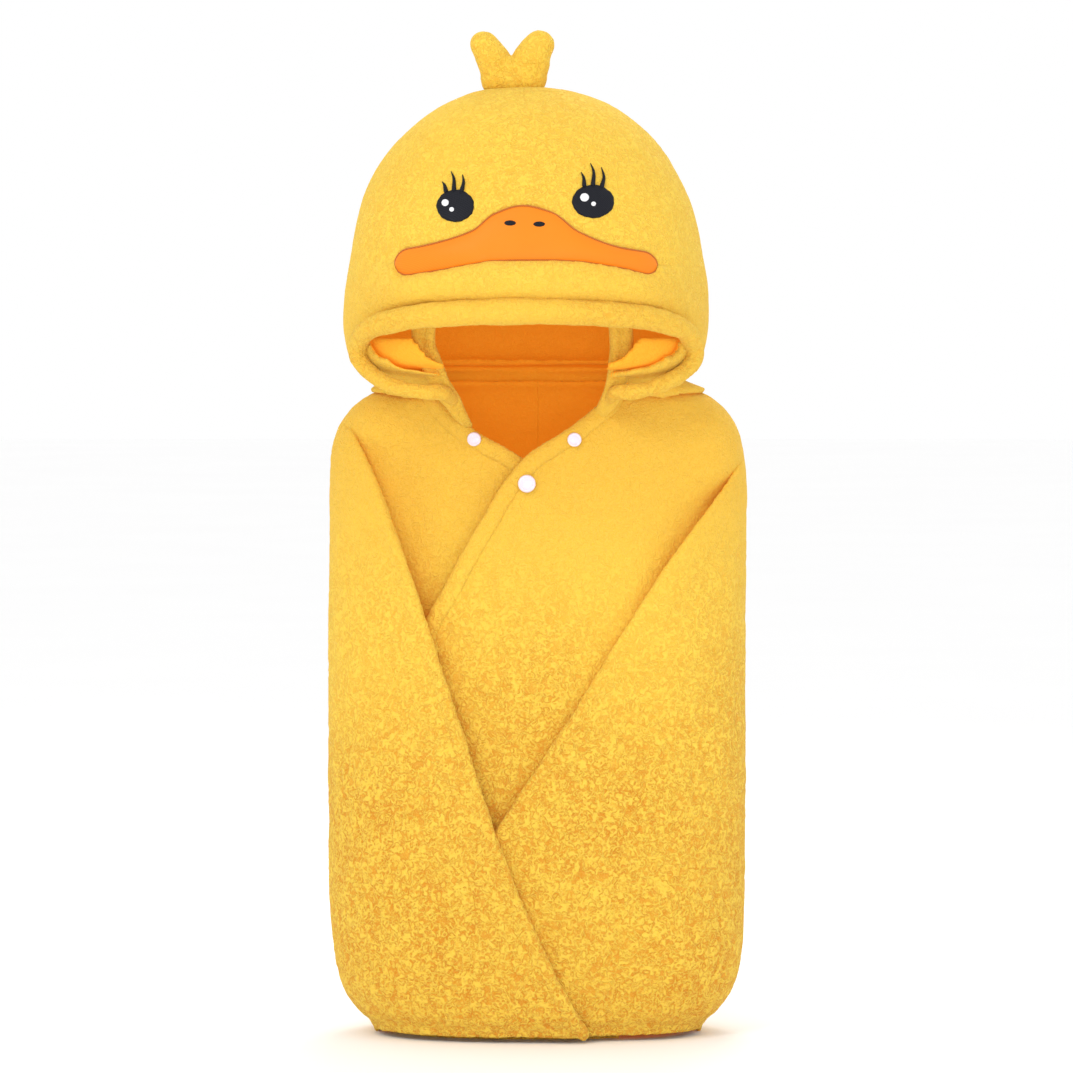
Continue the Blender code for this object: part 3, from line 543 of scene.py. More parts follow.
def add_pile(made, height=PILE_HEIGHT, seed=11, rough=None):
    """Raises the fleece's clumps of pile, and keeps their height and strength for the material, with a painted shade
    by height.
    """
    p = coords(made)
    swirl = np.stack([noise(p, 0.011, seed + 1), noise(p, 0.011, seed + 2), noise(p, 0.011, seed + 3)], axis=1)
    q = p + swirl * 0.0035
    worms = 1.0 - 2.0 * np.abs(noise(q, (0.0042, 0.0042, 0.0062), seed + 4))
    lumps = noise(p, 0.016, seed + 5)
    patch = noise(p, (0.06, 0.06, 0.08), seed + 6)
    # Painted shade by height: the lower hood, and on the body the shoulders under the hood, turn towards the deep
    # colour.
    painted_height_shade = 0.26 * (1.0 - step(p[:, 2], 0.485, 0.56))
    if rough is None:
        patch = 0.78 - 0.6 * step(p[:, 2], 0.13, 0.37) + 0.14 * patch
        painted_height_shade = 0.36 * step(p[:, 2], 0.27, 0.4)
    else:
        patch = rough * (1.0 + 0.5 * patch)
    patch = np.clip(patch, 0.05, 1.0)
    rise = height * (worms * (0.35 + 0.9 * patch) + 0.7 * lumps)
    set_value(made, "pile", np.clip(0.5 + 0.5 * worms, 0.0, 1.0))
    set_value(made, "patch", patch)
    set_value(made, "painted_height_shade", painted_height_shade)
    push_out(made, rise)


def body_folds(points):
    """How far the body's cloth stands out or falls in, the same for each layer so that they stay apart."""
    p = points
    broad = noise(np.stack([p[:, 0], np.sign(p[:, 1] - BODY_Y) * 0.5, p[:, 2]], axis=1), (0.06, 1.0, 0.17), 31)
    slant = noise(np.stack([p[:, 0] + 0.55 * p[:, 2], np.sign(p[:, 1] - BODY_Y) * 0.5, p[:, 2] * 0.35], axis=1),
                  (0.034, 1.0, 0.09), 37)
    hem = step(p[:, 2], 0.0, 0.05) * (1.0 - step(p[:, 2], 0.28, 0.37))
    return (0.0022 * broad + 0.001 * slant) * hem


def drape_body(made):
    p = coords(made)
    set_coords(made, p + body_out(p) * body_folds(p)[:, None])


# ---- materials

def new_material(name):
    made = bpy.data.materials.new(name)
    made.use_nodes = True
    tree = made.node_tree
    return made, tree, tree.nodes["Principled BSDF"], tree.nodes.new("ShaderNodeTexCoord").outputs["Object"]


def link(tree, a, b):
    tree.links.new(a, b)


def set_inputs(made, values):
    for name, value in values.items():
        made.inputs[name].default_value = value


def add_bump(tree, shader, height, strength, distance):
    relief = tree.nodes.new("ShaderNodeBump")
    set_inputs(relief, {"Strength": strength, "Distance": distance})
    link(tree, height, relief.inputs["Height"])
    link(tree, relief.outputs["Normal"], shader.inputs["Normal"])


def attribute(tree, name):
    made = tree.nodes.new("ShaderNodeAttribute")
    made.attribute_name = name
    return made.outputs["Fac"]


def mixed(tree, factor, one, two):
    """Colour between two, each a socket or a colour, by a socket or a number."""
    mix = tree.nodes.new("ShaderNodeMix")
    mix.data_type = "RGBA"
    for socket, value in ((mix.inputs[0], factor), (mix.inputs[6], one), (mix.inputs[7], two)):
        if isinstance(value, bpy.types.NodeSocket):
            link(tree, value, socket)
        elif isinstance(value, tuple):
            socket.default_value = (*value, 1.0)
        else:
            socket.default_value = value
    return mix.outputs[2]


def texture_noise(tree, coordinates, scale, detail, distortion=0.0):
    made = tree.nodes.new("ShaderNodeTexNoise")
    set_inputs(made, {"Scale": scale, "Detail": detail, "Distortion": distortion})
    link(tree, coordinates, made.inputs["Vector"])
    return made.outputs[0]


def ranged(tree, value, low, high, out_low=0.0, out_high=1.0):
    made = tree.nodes.new("ShaderNodeMapRange")
    set_inputs(made, {"From Min": low, "From Max": high, "To Min": out_low, "To Max": out_high})
    link(tree, value, made.inputs["Value"])
    return made.outputs["Result"]


def maths(tree, operation, one, two=None):
    made = tree.nodes.new("ShaderNodeMath")
    made.operation = operation
    for socket, value in zip(made.inputs, (one, two)):
        if isinstance(value, bpy.types.NodeSocket):
            link(tree, value, socket)
        elif value is not None:
            socket.default_value = value
    return made.outputs[0]


def fleece(name, light, deep, glow, bump=0.7, through=None):
    """Plush coral fleece: short squiggly pile, lighter at its tips, with painted shade in the deep colour down
    between them and in the zones that add_pile marks as shaded.

    through is the colour of a painted glow: emission that makes the cloth shine from within though it is no lamp,
    where that shows.
    """
    made, tree, shader, place = new_material(name)
    pile, patch, painted_height_shade = (attribute(tree, key) for key in ("pile", "patch", "painted_height_shade"))
    broad = texture_noise(tree, place, 16.0, 3.0)
    ridged = ranged(tree, texture_noise(tree, place, 290.0, 1.5, 1.6), 0.4, 0.6)
    fibres = texture_noise(tree, place, 1400.0, 3.0, 0.8)
    # Painted shade: the deep colour fills in down between the pile's tips, more where the pile is rough, and in the
    # shaded zones.
    tips = maths(tree, "ADD", maths(tree, "MULTIPLY", pile, 0.35), maths(tree, "MULTIPLY", ridged, 0.65))
    depth = maths(tree, "SUBTRACT", 1.0, ranged(tree, tips, 0.15, 0.85))
    depth = maths(tree, "MULTIPLY", depth, ranged(tree, patch, 0.0, 1.0, 0.1, 1.22))
    colour = mixed(tree, maths(tree, "MAXIMUM", depth, painted_height_shade), light, deep)
    colour = mixed(tree, ranged(tree, broad, 0.35, 0.7, 0.0, 0.06), colour, deep)
    colour = mixed(tree, ranged(tree, fibres, 0.35, 0.75, 0.0, 0.25), colour, glow)
    link(tree, colour, shader.inputs["Base Color"])
    link(tree, ranged(tree, ridged, 0.0, 1.0, 0.98, 0.82), shader.inputs["Roughness"])
    set_inputs(shader, {"Specular IOR Level": 0.1, "Sheen Weight": 0.35, "Sheen Roughness": 0.5,
                        "Sheen Tint": (*glow, 1.0), "Subsurface Weight": 0.08,
                        "Subsurface Radius": (1.0, 0.45, 0.08), "Subsurface Scale": 0.004})
    # Painted glow: emission on the inner faces, though they are no lamp, fading out towards the hem and dimmer up in
    # the hood.
    if through:
        tint = mixed(tree, ranged(tree, broad, 0.3, 0.7), through, tuple(c * 0.85 for c in through))
        link(tree, mixed(tree, ranged(tree, fibres, 0.3, 0.8, 0.0, 0.3), tint, deep), shader.inputs["Emission Color"])
        height = tree.nodes.new("ShaderNodeSeparateXYZ")
        link(tree, place, height.inputs[0])
        above_hem = ranged(tree, height.outputs["Z"], 0.05, 0.28)
        link(tree, maths(tree, "MULTIPLY", above_hem, ranged(tree, height.outputs["Z"], 0.38, 0.54, 0.34, 0.22)),
             shader.inputs["Emission Strength"])
    height = maths(tree, "ADD", maths(tree, "MULTIPLY", ridged, 0.9), maths(tree, "MULTIPLY", fibres, 0.35))
    height = maths(tree, "MULTIPLY", height, ranged(tree, patch, 0.0, 1.0, 0.35, 1.3))
    add_bump(tree, shader, height, bump, 0.0012)
    return made


def stitched(name, colour, deep, roughness, across, bump=0.4, sheen=0.15):
    """Cloth or embroidery with close rows of thread; across is how many rows there are to a metre."""
    made, tree, shader, place = new_material(name)
    rows = tree.nodes.new("ShaderNodeTexWave")
    rows.wave_type = "BANDS"
    rows.bands_direction = "DIAGONAL"
    set_inputs(rows, {"Scale": across, "Distortion": 1.2, "Detail": 2.0})
    link(tree, place, rows.inputs["Vector"])
    grain = texture_noise(tree, place, 900.0, 3.0)
    tone = texture_noise(tree, place, 40.0, 2.0)
    shade = mixed(tree, ranged(tree, rows.outputs["Fac"], 0.2, 0.9), deep, colour)
    shade = mixed(tree, ranged(tree, tone, 0.3, 0.75, 0.0, 0.4), shade, deep)
    link(tree, shade, shader.inputs["Base Color"])
    link(tree, ranged(tree, grain, 0.2, 0.8, roughness - 0.08, roughness + 0.08), shader.inputs["Roughness"])
    set_inputs(shader, {"Sheen Weight": sheen, "Specular IOR Level": 0.22})
    height = maths(tree, "ADD", rows.outputs["Fac"], maths(tree, "MULTIPLY", grain, 0.6))
    add_bump(tree, shader, height, bump, 0.0003)
    return made


def resin(name, colour):
    """Glossy snap resin, a little uneven and milky."""
    made, tree, shader, place = new_material(name)
    cloud = texture_noise(tree, place, 260.0, 3.0)
    link(tree, mixed(tree, ranged(tree, cloud, 0.3, 0.7, 0.0, 0.5), colour, tuple(c * 0.93 for c in colour)),
         shader.inputs["Base Color"])
    link(tree, ranged(tree, cloud, 0.2, 0.8, 0.22, 0.38), shader.inputs["Roughness"])
    set_inputs(shader, {"Subsurface Weight": 0.15, "Subsurface Scale": 0.002, "Coat Weight": 0.4})
    return made


YELLOW = (0.82, 0.54, 0.056)
# Painted shade colour: fills the fleece between its pile and in the shaded zones; a little of it also mottles the
# fleece at random.
SHADE_AND_MOTTLE_AMBER = (0.64, 0.235, 0.01)
LEMON = (0.88, 0.68, 0.2)
looks = {
    "fleece": fleece("yellow_fleece", YELLOW, SHADE_AND_MOTTLE_AMBER, LEMON),
    # Painted shade: a deeper orange copy of the fleece for inner faces and the hood's inside, with a painted glow.
    "lining": fleece("shaded_inside_fleece", (0.8, 0.37, 0.026), (0.74, 0.27, 0.014), (0.88, 0.5, 0.075), 0.4,
                     through=(0.8, 0.33, 0.016)),
    "bill": stitched("orange_bill_cloth", (0.83, 0.235, 0.008), (0.79, 0.205, 0.006), 0.5, 420.0, 0.12, 0.02),
    "bill_edge": stitched("bill_edge_thread", (0.6, 0.17, 0.015), (0.42, 0.1, 0.01), 0.7, 420.0),
    "embroidery": stitched("dark_embroidery", (0.008, 0.009, 0.016), (0.004, 0.0045, 0.008), 0.6, 300.0, 0.6, 0.0),
    "white_thread": stitched("white_embroidery", (0.86, 0.86, 0.86), (0.79, 0.79, 0.81), 0.5, 300.0),
    "snap_plastic": resin("snap_resin", (0.8, 0.69, 0.765)),
}


def paint(made, key):
    made.data.materials.clear()
    made.data.materials.append(looks[key])
    made.data.polygons.foreach_set("material_index", [0] * len(made.data.polygons))


def line_inside(made, key, is_inside):
    """Gives the faces on the cloth's inner side a second material, the deeper orange copy of the fleece: painted
    shade with a painted glow.
    """
    made.data.materials.append(looks[key])
    faces = made.data.polygons
    index = is_inside(triples(faces, "center"), triples(faces, "normal")).astype(np.int32)
    faces.foreach_set("material_index", index)


# ---- cloth body pieces

def panel(heights, start, end, inside, columns):
    z = np.asarray(heights, float)[:, None]
    share = np.linspace(0.0, 1.0, columns + 1)[None, :]
    angle = start(z) + (end(z) - start(z)) * share
    x = section_points(angle, z, 0.0)[..., 0]
    points = section_points(angle, z + 0.0 * x, inside(x, z))
    return thick(grid_mesh(points, "panel"), CLOTH)


def heights_between(low, high, spacing=0.006):
    return np.linspace(low, high, max(3, round((high - low) / spacing)) + 1)


def back_points(columns=120):
    z = np.concatenate([heights_between(HEM_LOW, 0.436), [0.438, 0.44, 0.4425, 0.4445, 0.4463, BACK_TOP]])
    angle = math.pi + math.pi * np.linspace(0.0, 1.0, columns + 1)[None, :]
    return grid_mesh(section_points(angle, z[:, None] + 0.0 * angle, 0.0), "back")


def edge_roll(edge, inside, low, high, radius):
    """Soft roll along a panel's free edge, where its cloth is folded back."""
    z = heights_between(low, high, 0.008)
    x = edge(z)
    depth = inside(x, z) + CLOTH * 0.55
    points = section_points(section_angle(x, z, depth), z, depth)
    taper = 0.55 + 0.45 * step(high - z, 0.0, 0.06)
    return tube_mesh(np.column_stack([points, radius * taper]))


def split_back(made, side):
    """Keeps one half of the back, cut down its middle, and closes the cut."""
    def cut(bm):
        faces = [f for f in bm.faces if f.calc_center_median().y > BODY_Y]
        geometry = dict.fromkeys(faces)
        for f in faces:
            geometry.update(dict.fromkeys([*f.edges, *f.verts]))
        bmesh.ops.bisect_plane(bm, geom=list(geometry), plane_co=(0.0, 0.0, 0.0), plane_no=(1.0, 0.0, 0.0),
                               clear_outer=side < 0, clear_inner=side > 0)
        bmesh.ops.holes_fill(bm, edges=[e for e in bm.edges if e.is_boundary], sides=0)

    rework(made.data, cut)
    made.data.shade_smooth()


def inside_of_body(middle, out):
    away = body_out(middle)
    return ((out * away).sum(axis=1) < -0.25) & (middle[:, 2] > 0.012)


def inside_of_hood(middle, out):
    skirt = middle[:, 2] < 0.47
    away = middle - np.array([HOOD_X, STAND_Y, 0.5])
    away[skirt, 2] = 0.0
    away /= np.linalg.norm(away, axis=1)[:, None]
    return (out * away).sum(axis=1) < np.where(skirt, 0.1, -0.15)


def make_outer_cloth():
    """The two outer cloths: each is half of the back, round the side and over the front as a wrap."""
    seam = 0.012
    made = {}
    for side in ("left", "right"):
        if side == "left":
            wrap = panel(heights_between(0.003, LEFT_WRAP_TOP), lambda z: -seam * 2 + 0.0 * z,
                         lambda z: section_angle(left_wrap_edge(z), z, 0.0), left_wrap_inside, 70)
            roll = edge_roll(left_wrap_edge, left_wrap_inside, 0.006, 0.414, 0.0046)
        else:
            wrap = panel(heights_between(0.003, RIGHT_WRAP_TOP),
                         lambda z: section_angle(right_wrap_edge(z), z, right_wrap_inside(right_wrap_edge(z), z)),
                         lambda z: math.pi + seam * 2 + 0.0 * z, right_wrap_inside, 70)
            roll = edge_roll(right_wrap_edge, right_wrap_inside, 0.11, 0.388, 0.0036)
        cloth = melt([thick(back_points(), CLOTH), wrap, roll], side + "_outer_cloth")
        drape_body(cloth)
        add_pile(cloth)
        split_back(cloth, -1 if side == "left" else 1)
        paint(cloth, "fleece")
        # Painted shade and glow on the cloth's inner faces.
        line_inside(cloth, "lining", inside_of_body)
        made[side] = cloth
    return made


def band_strip(edge, inside, low, high, side):
    """Folded band along an edge of the front: a strip with full, rounded edges."""
    z = heights_between(low, high, 0.005)[::-1]
    p = np.stack([edge(z), z], axis=1)
    along = np.gradient(p, axis=0)
    along /= np.linalg.norm(along, axis=1)[:, None]
    inward = np.stack([along[:, 1], -along[:, 0]], axis=1)
    inward[inward[:, 0] * side < 0] *= -1
    across = np.linspace(0.0, 1.0, 9)
    crown = np.sin(across * math.pi) ** 0.5
    q = p[:, None, :] + inward[:, None, :] * (across * (BAND + 0.0015))[None, :, None]
    lift = -0.0002 + 0.0027 * crown[None, :]
    depth = inside(q[..., 0], q[..., 1]) - lift
    points = section_points(section_angle(q[..., 0], q[..., 1], depth), q[..., 1], depth)
    if side < 0:
        points = points[:, ::-1]
    return thick(grid_mesh(points[::-1], "band"), 0.0052)


def make_fronts():
    seam = 0.01
    neck_low = LEFT_NECK_EDGE[-1][1]

    def left_end(z):
        x = np.where(z > neck_low - BAND, edge_x(LEFT_NECK_EDGE, z) - BAND * 1.05, left_front_edge(z))
        return section_angle(x, z, left_front_inside(x, z))

    left = melt([panel(heights_between(HEM_LOW, NECK_TOP), lambda z: seam - 0.11 * step(z, 0.4, 0.43), left_end,
                        left_front_inside, 80)],
                "left_front_cloth")

    def right_start(z):
        x = right_front_edge(z) + np.where((z > 0.258) & (z < 0.447), BAND * 0.75, 0.0)
        return section_angle(x, z, right_front_inside(x, z))

    right = melt([panel(heights_between(0.003, NECK_TOP), right_start,
                        lambda z: math.pi - seam + 0.11 * step(z, 0.375, 0.405), right_front_inside, 80)],
                 "right_front_cloth")
    left_band = melt([band_strip(lambda z: edge_x(LEFT_NECK_EDGE, z), left_front_inside, neck_low, 0.446, -1)],
                     "left_neck_band", rounds=5)
    right_band = melt([band_strip(right_front_edge, right_front_inside, 0.262, 0.446, 1)], "right_front_binding",
                      rounds=5)
    for made in (left, right, left_band, right_band):
        drape_body(made)
        add_pile(made)
        paint(made, "fleece")
    # Painted shade and glow on the fronts' inner faces.
    for made in (left, right):
        line_inside(made, "lining", inside_of_body)
    return left, right, left_band, right_band


# ---- hood pieces

def hood_sphere(inside, rings=90, sides=150):
    share = np.linspace(0.002, 1.0, rings)[:, None]
    angle = np.linspace(-math.pi, math.pi, sides + 1)[None, :]
    points = hood_points(share + 0.0 * angle, angle + 0.0 * share, inside)
    points[:, -1] = points[:, 0]
    return points


def in_mouth(p, reach):
    """True for points of the hood that lie in its front opening, reach further forward than the brim's middle."""
    brim = path_points(BRIM_PATH, 6)
    outline = [(x, z) for x, y, z, r in brim]
    outline = np.array([(outline[0][0], 0.42)] + outline + [(outline[-1][0], 0.42)])
    x, z = p[:, 0], p[:, 2]
    inside = np.zeros(len(p), bool)
    for (x1, z1), (x2, z2) in zip(outline, np.roll(outline, -1, axis=0)):
        crosses = (z1 > z) != (z2 > z)
        with np.errstate(divide="ignore", invalid="ignore"):
            at = (x2 - x1) * (z - z1) / (z2 - z1) + x1
        inside ^= crosses & (x < at)
    off = np.abs(x - HOOD_X)
    front = np.interp(off, (0.056, 0.072, 0.093, 0.11), (-0.058, -0.06, -0.052, -0.04)) - reach
    return inside & (p[:, 1] < np.where((off > 0.056) & (z < 0.48), front, STAND_Y - 0.012))


def hood_shell_mesh(inside, thickness, reach):
    points = hood_sphere(inside)
    rows, columns = points.shape[:2]
    middle = (points[:-1, :-1] + points[1:, :-1] + points[:-1, 1:] + points[1:, 1:]) / 4.0
    gone = in_mouth(middle.reshape(-1, 3), reach).reshape(rows - 1, columns - 1)
    data = grid_mesh(points, "hood", lambda j, i: not gone[j, i])

    def crown_up(bm):
        face_out(bm)
        if max(bm.faces, key=lambda f: f.calc_center_median().z).normal.z < 0:
            bmesh.ops.reverse_faces(bm, faces=bm.faces)

    rework(data, crown_up)
    return thick(data, thickness)


def neck_skirt():
    """Cloth from the hood's rim down to the neck of the body, round the back and both sides."""
    turn = np.radians(np.linspace(-48.0, 228.0, 111))
    rim = hood_points(np.full(turn.shape, 0.945), turn, 0.002)
    neck = section_points(turn + math.pi, np.full(turn.shape, 0.439), 0.0012)
    share = np.linspace(0.0, 1.0, 7)[:, None, None]
    points = rim[None] * (1.0 - share) + neck[None] * share
    points[..., :2] *= 1.0 - 0.035 * np.sin(share * math.pi)
    return thick(grid_mesh(points, "skirt"), CLOTH)


def make_hood():
    cover = melt([hood_shell_mesh(0.0, CLOTH, 0.003), neck_skirt()], "hood_cover", rounds=8)
    p = coords(cover)
    out = normals(cover)
    front = (p[:, 1] < STAND_Y) & (out[:, 1] < 0.3)
    x = np.clip(p[:, 0], BILL[0][0], BILL[-1][0])
    brim = path_points(BRIM_PATH, 8)
    middle = brim[(brim[:, 2] > 0.47)]
    order = np.argsort(middle[:, 0])
    band_top = np.interp(p[:, 0], middle[order, 0], middle[order, 2] + middle[order, 3])
    low = bill_low(x)
    chin = (low + band_top) / 2.0
    size = np.maximum((low - band_top) / 2.0, 0.006)
    fade = 1.0 - step(np.abs(p[:, 0] - HOOD_X), 0.07, 0.115)
    roll = 0.0074 * np.sqrt(np.clip(1.0 - ((p[:, 2] - chin) / size) ** 2, 0.0, 1.0)) * fade
    near_bill = np.maximum(np.abs(p[:, 0] - x), 0.0)
    edge = np.minimum(np.abs(p[:, 2] - low), np.abs(p[:, 2] - bill_high(x)))
    groove = -0.0012 * np.exp(-((edge + near_bill) / 0.0018) ** 2)
    set_coords(cover, p + out * (np.where(front, roll + groove, 0.0) + hood_softness(p))[:, None])
    add_pile(cover, 0.00028, 21, 0.24)
    paint(cover, "fleece")
    # Painted shade and glow on the hood cover's inner faces.
    line_inside(cover, "lining", inside_of_hood)

    lining = melt([hood_shell_mesh(CLOTH + 0.0015, 0.003, 0.012)], "hood_inner_lining", rounds=5)
    push_out(lining, 0.0006 * noise(coords(lining), 0.035, 61))
    add_pile(lining, 0.0002, 62, 0.4)
    # Painted shade and glow: the hood's inside layer gets the deeper orange copy of the fleece.
    paint(lining, "lining")

    roll = melt([tube_mesh(brim, 28)], "brim_roll", rounds=4)
    push_out(roll, 0.0008 * noise(coords(roll), (0.012, 0.012, 0.02), 71))
    add_pile(roll, 0.0004, 72, 0.45)
    paint(roll, "fleece")

    line = path_points(FACE_PATH, 6)
    along = np.gradient(line[:, (0, 2)], axis=0)
    along /= np.linalg.norm(along, axis=1)[:, None]
    ridges = []
    for side in (-0.55, 0.55):
        ridge = line.copy()
        ridge[:, 0] += along[:, 1] * line[:, 3] * side
        ridge[:, 2] -= along[:, 0] * line[:, 3] * side
        ridge[:, 3] *= 0.66
        ridges.append(tube_mesh(ridge, 20))
    face = melt(ridges, "face_edge_binding", voxel=0.0015, rounds=2)
    add_pile(face, 0.0003, 82, 0.35)
    paint(face, "fleece")
    return cover, lining, roll, face


def patch_on_hood(outline_low, outline_high, left, right, columns, rows, height, base):
    """Padded patch on the hood's face between two curves, thin at its edge and full in its middle."""
    turn = np.linspace(0.0, math.pi, columns + 1)
    x = left + (right - left) * (1.0 - np.cos(turn)) / 2.0
    share = (1.0 - np.cos(np.linspace(0.0, math.pi, rows + 1))) / 2.0
    low, high = outline_low(x), outline_high(x)
    z = low[None, :] + (high - low)[None, :] * share[:, None]
    across = np.sin(turn)[None, :] ** 0.35
    up = np.sin(share * math.pi)[:, None] ** 0.5
    lift = base + (height - base) * across * up
    front = on_hood(x[None, :] + 0.0 * z, z, lift)
    back = on_hood(x[None, :] + 0.0 * z, z, -0.0012)
    return front, back


def two_faced(name, front, back, rim, distance):
    """Closed piece between two grids of points, joined along the rim's pairs of points."""
    rows, columns = front.shape[:2]
    shift = rows * columns
    faces = []
    for face in quads(rows, columns):
        faces += [face, tuple(v + shift for v in face[::-1])]
    faces += [(b, a, a + shift, b + shift) for a, b in rim]
    data = bpy.data.meshes.new(name)
    data.from_pydata(np.concatenate([front.reshape(-1, 3), back.reshape(-1, 3)]).tolist(), [], faces)

    def clean(bm):
        weld(bm, distance)
        bmesh.ops.dissolve_degenerate(bm, edges=bm.edges, dist=distance / 2)
        face_out(bm)

    rework(data, clean)
    data.shade_smooth()
    return add_object(name, data)


def closed_patch(name, front, back):
    rows, columns = front.shape[:2]
    ring = ([(0, i) for i in range(columns)] + [(j, columns - 1) for j in range(1, rows)]
            + [(rows - 1, i) for i in range(columns - 2, -1, -1)] + [(j, 0) for j in range(rows - 2, 0, -1)])
    index = [j * columns + i for j, i in ring]
    return two_faced(name, front, back, zip(index, index[1:] + index[:1]), WELD)


def make_bill():
    front, back = patch_on_hood(bill_low, bill_high, BILL[0][0], BILL[-1][0], 120, 36, 0.003, 0.0004)
    wave = 0.0004 * noise(front.reshape(-1, 3), 0.014, 91).reshape(front.shape[:2])
    front[..., 1] -= wave
    bill = closed_patch("bill_cloth", front, back)
    paint(bill, "bill")
    turn = np.linspace(0.0, 2 * math.pi, 421)[:-1]
    left, right = BILL[0][0], BILL[-1][0]
    x = (left + right) / 2 + (right - left) / 2 * np.cos(turn)
    z = np.where(np.sin(turn) >= 0, bill_high(x), bill_low(x))
    around = np.stack([x, z], axis=1)
    along = np.roll(around, -1, axis=0) - np.roll(around, 1, axis=0)
    along /= np.maximum(np.linalg.norm(along, axis=1), 1e-9)[:, None]
    out = np.stack([along[:, 1], -along[:, 0]], axis=1)
    line = around + out * 0.0003
    points = on_hood(line[:, 0], line[:, 1], 0.0004)
    curve = bpy.data.curves.new("bill_edge_seam", "CURVE")
    curve.dimensions = "3D"
    curve.bevel_depth = 0.00075
    curve.bevel_resolution = 2
    spline = curve.splines.new("POLY")
    spline.points.add(len(points) - 1)
    for target, p in zip(spline.points, points):
        target.co = (*p, 1.0)
    spline.use_cyclic_u = True
    seam = evaluated(scratch(curve), "bill_edge_seam")
    seam.data.shade_smooth()
    paint(seam, "bill_edge")
    return bill, seam


def bead(name, x, z, half_width, half_height, height, base, ragged=0.0, rings=22, sides=72, seed=5):
    """Domed patch of embroidery on the hood's face, with an edge that isn't quite even."""
    radius = np.linspace(0.0, 1.0, rings)[:, None]
    turn = np.linspace(-math.pi, math.pi, sides + 1)[None, :]
    uneven = 1.0 + ragged * (np.sin(turn * 7 + seed) * 0.5 + np.sin(turn * 17 + 2 * seed) * 0.5)
    px = x + half_width * radius * np.cos(turn) * uneven
    pz = z + half_height * radius * np.sin(turn) * uneven
    lift = base + height * np.sqrt(np.clip(1.0 - radius ** 2.6, 0.0, 1.0)) + 0.0 * turn
    front = on_hood(px, pz, lift)
    back = on_hood(px, pz, base - 0.001 + 0.0 * lift)
    front[:, -1], back[:, -1] = front[:, 0], back[:, 0]
    last = (rings - 1) * (sides + 1)
    return two_faced(name, front, back, [(last + i + 1, last + i) for i in range(sides)], WELD / 2)


def make_face():
    """Eyes, highlights, lashes and nostrils, each with the CAD node that it stands for."""
    made = []

    def keep(piece, cad_node, look):
        paint(piece, look)
        made.append((piece, cad_node, look))

    for side, (x, z, half_width, half_height) in EYES.items():
        keep(bead(f"eye_{side}_embroidery", x, z, half_width, half_height, 0.0017, 0.0004, 0.02),
             "eye_" + side, "embroidery")
        for number, (hx, hz, radius) in enumerate(HIGHLIGHTS[side], 1):
            keep(bead(f"eye_{side}_spark_{number}", hx, hz, radius, radius * 0.95, 0.0006, 0.002, 0.03, 10, 32),
                 f"eye_{side}_highlight_{number}", "white_thread")
        for number, lash in enumerate(LASHES[side], 1):
            line = path_points(lash, 8)
            share = np.linspace(0.0, 1.0, len(line))
            radius = 0.00155 * (1.0 - 0.84 * share ** 1.2)
            points = on_hood(line[:, 0], line[:, 1], 0.0007 + 0.0 * share)
            thread = evaluated(tube_mesh(np.column_stack([points, radius]), 14), f"lash_{side}_{number}_thread")
            thread.data.shade_smooth()
            keep(thread, f"lash_{side}_{number}", "embroidery")
    for side, (x, z) in NOSTRILS.items():
        keep(bead(f"nostril_{side}_stitch", x, z, 0.0038, 0.0017, 0.0005, 0.0027, 0.02, 10, 32),
             "nostril_" + side, "embroidery")
    return made


def make_crest():
    """Soft forked tuft, filled, with a notch between its two lobes."""
    low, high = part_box("crest_tuft")
    middle = (low + high) / 2
    parts = []

    def stuffing(x, z, radius):
        parts.append(tube_mesh(np.column_stack(np.broadcast_arrays(x, middle.y, z, radius)), 24))

    lobes = (((-0.0278, 0.654), (-0.0309, 0.6665), (-0.0368, 0.677), (0.0102, 0.011, 0.009)),
             ((-0.0058, 0.654), (-0.0042, 0.6665), (0.001, 0.6762), (0.0102, 0.0122, 0.0099)))
    for a, b, c, radii in lobes:
        line = path_points((a, b, c), 6)
        radius = np.interp(np.linspace(0.0, 2.0, len(line)), (0.0, 1.0, 2.0), radii)
        stuffing(line[:, 0], line[:, 1], radius)
    for start, end, z, radius in ((-0.0294, -0.0044, 0.6535, 0.0099), (-0.025, -0.011, 0.6585, 0.0096)):
        stuffing(np.linspace(start, end, 9), z, radius)
    tuft = melt(parts, "crest_filled_tuft", voxel=0.0014, rounds=10)
    push_out(tuft, 0.0006 + 0.0008 * noise(coords(tuft), 0.01, 95))
    add_pile(tuft, 0.0004, 96, 0.28)
    paint(tuft, "fleece")
    return tuft


CAP_PROFILE = ((0.0, 0.86), (0.3, 0.84), (0.52, 0.78), (0.58, 0.7), (0.64, 0.72), (0.72, 0.92), (0.8, 1.0),
               (0.88, 0.96), (0.95, 0.74), (0.99, 0.4), (1.0, 0.1), (0.96, -0.1), (0.0, -0.1))


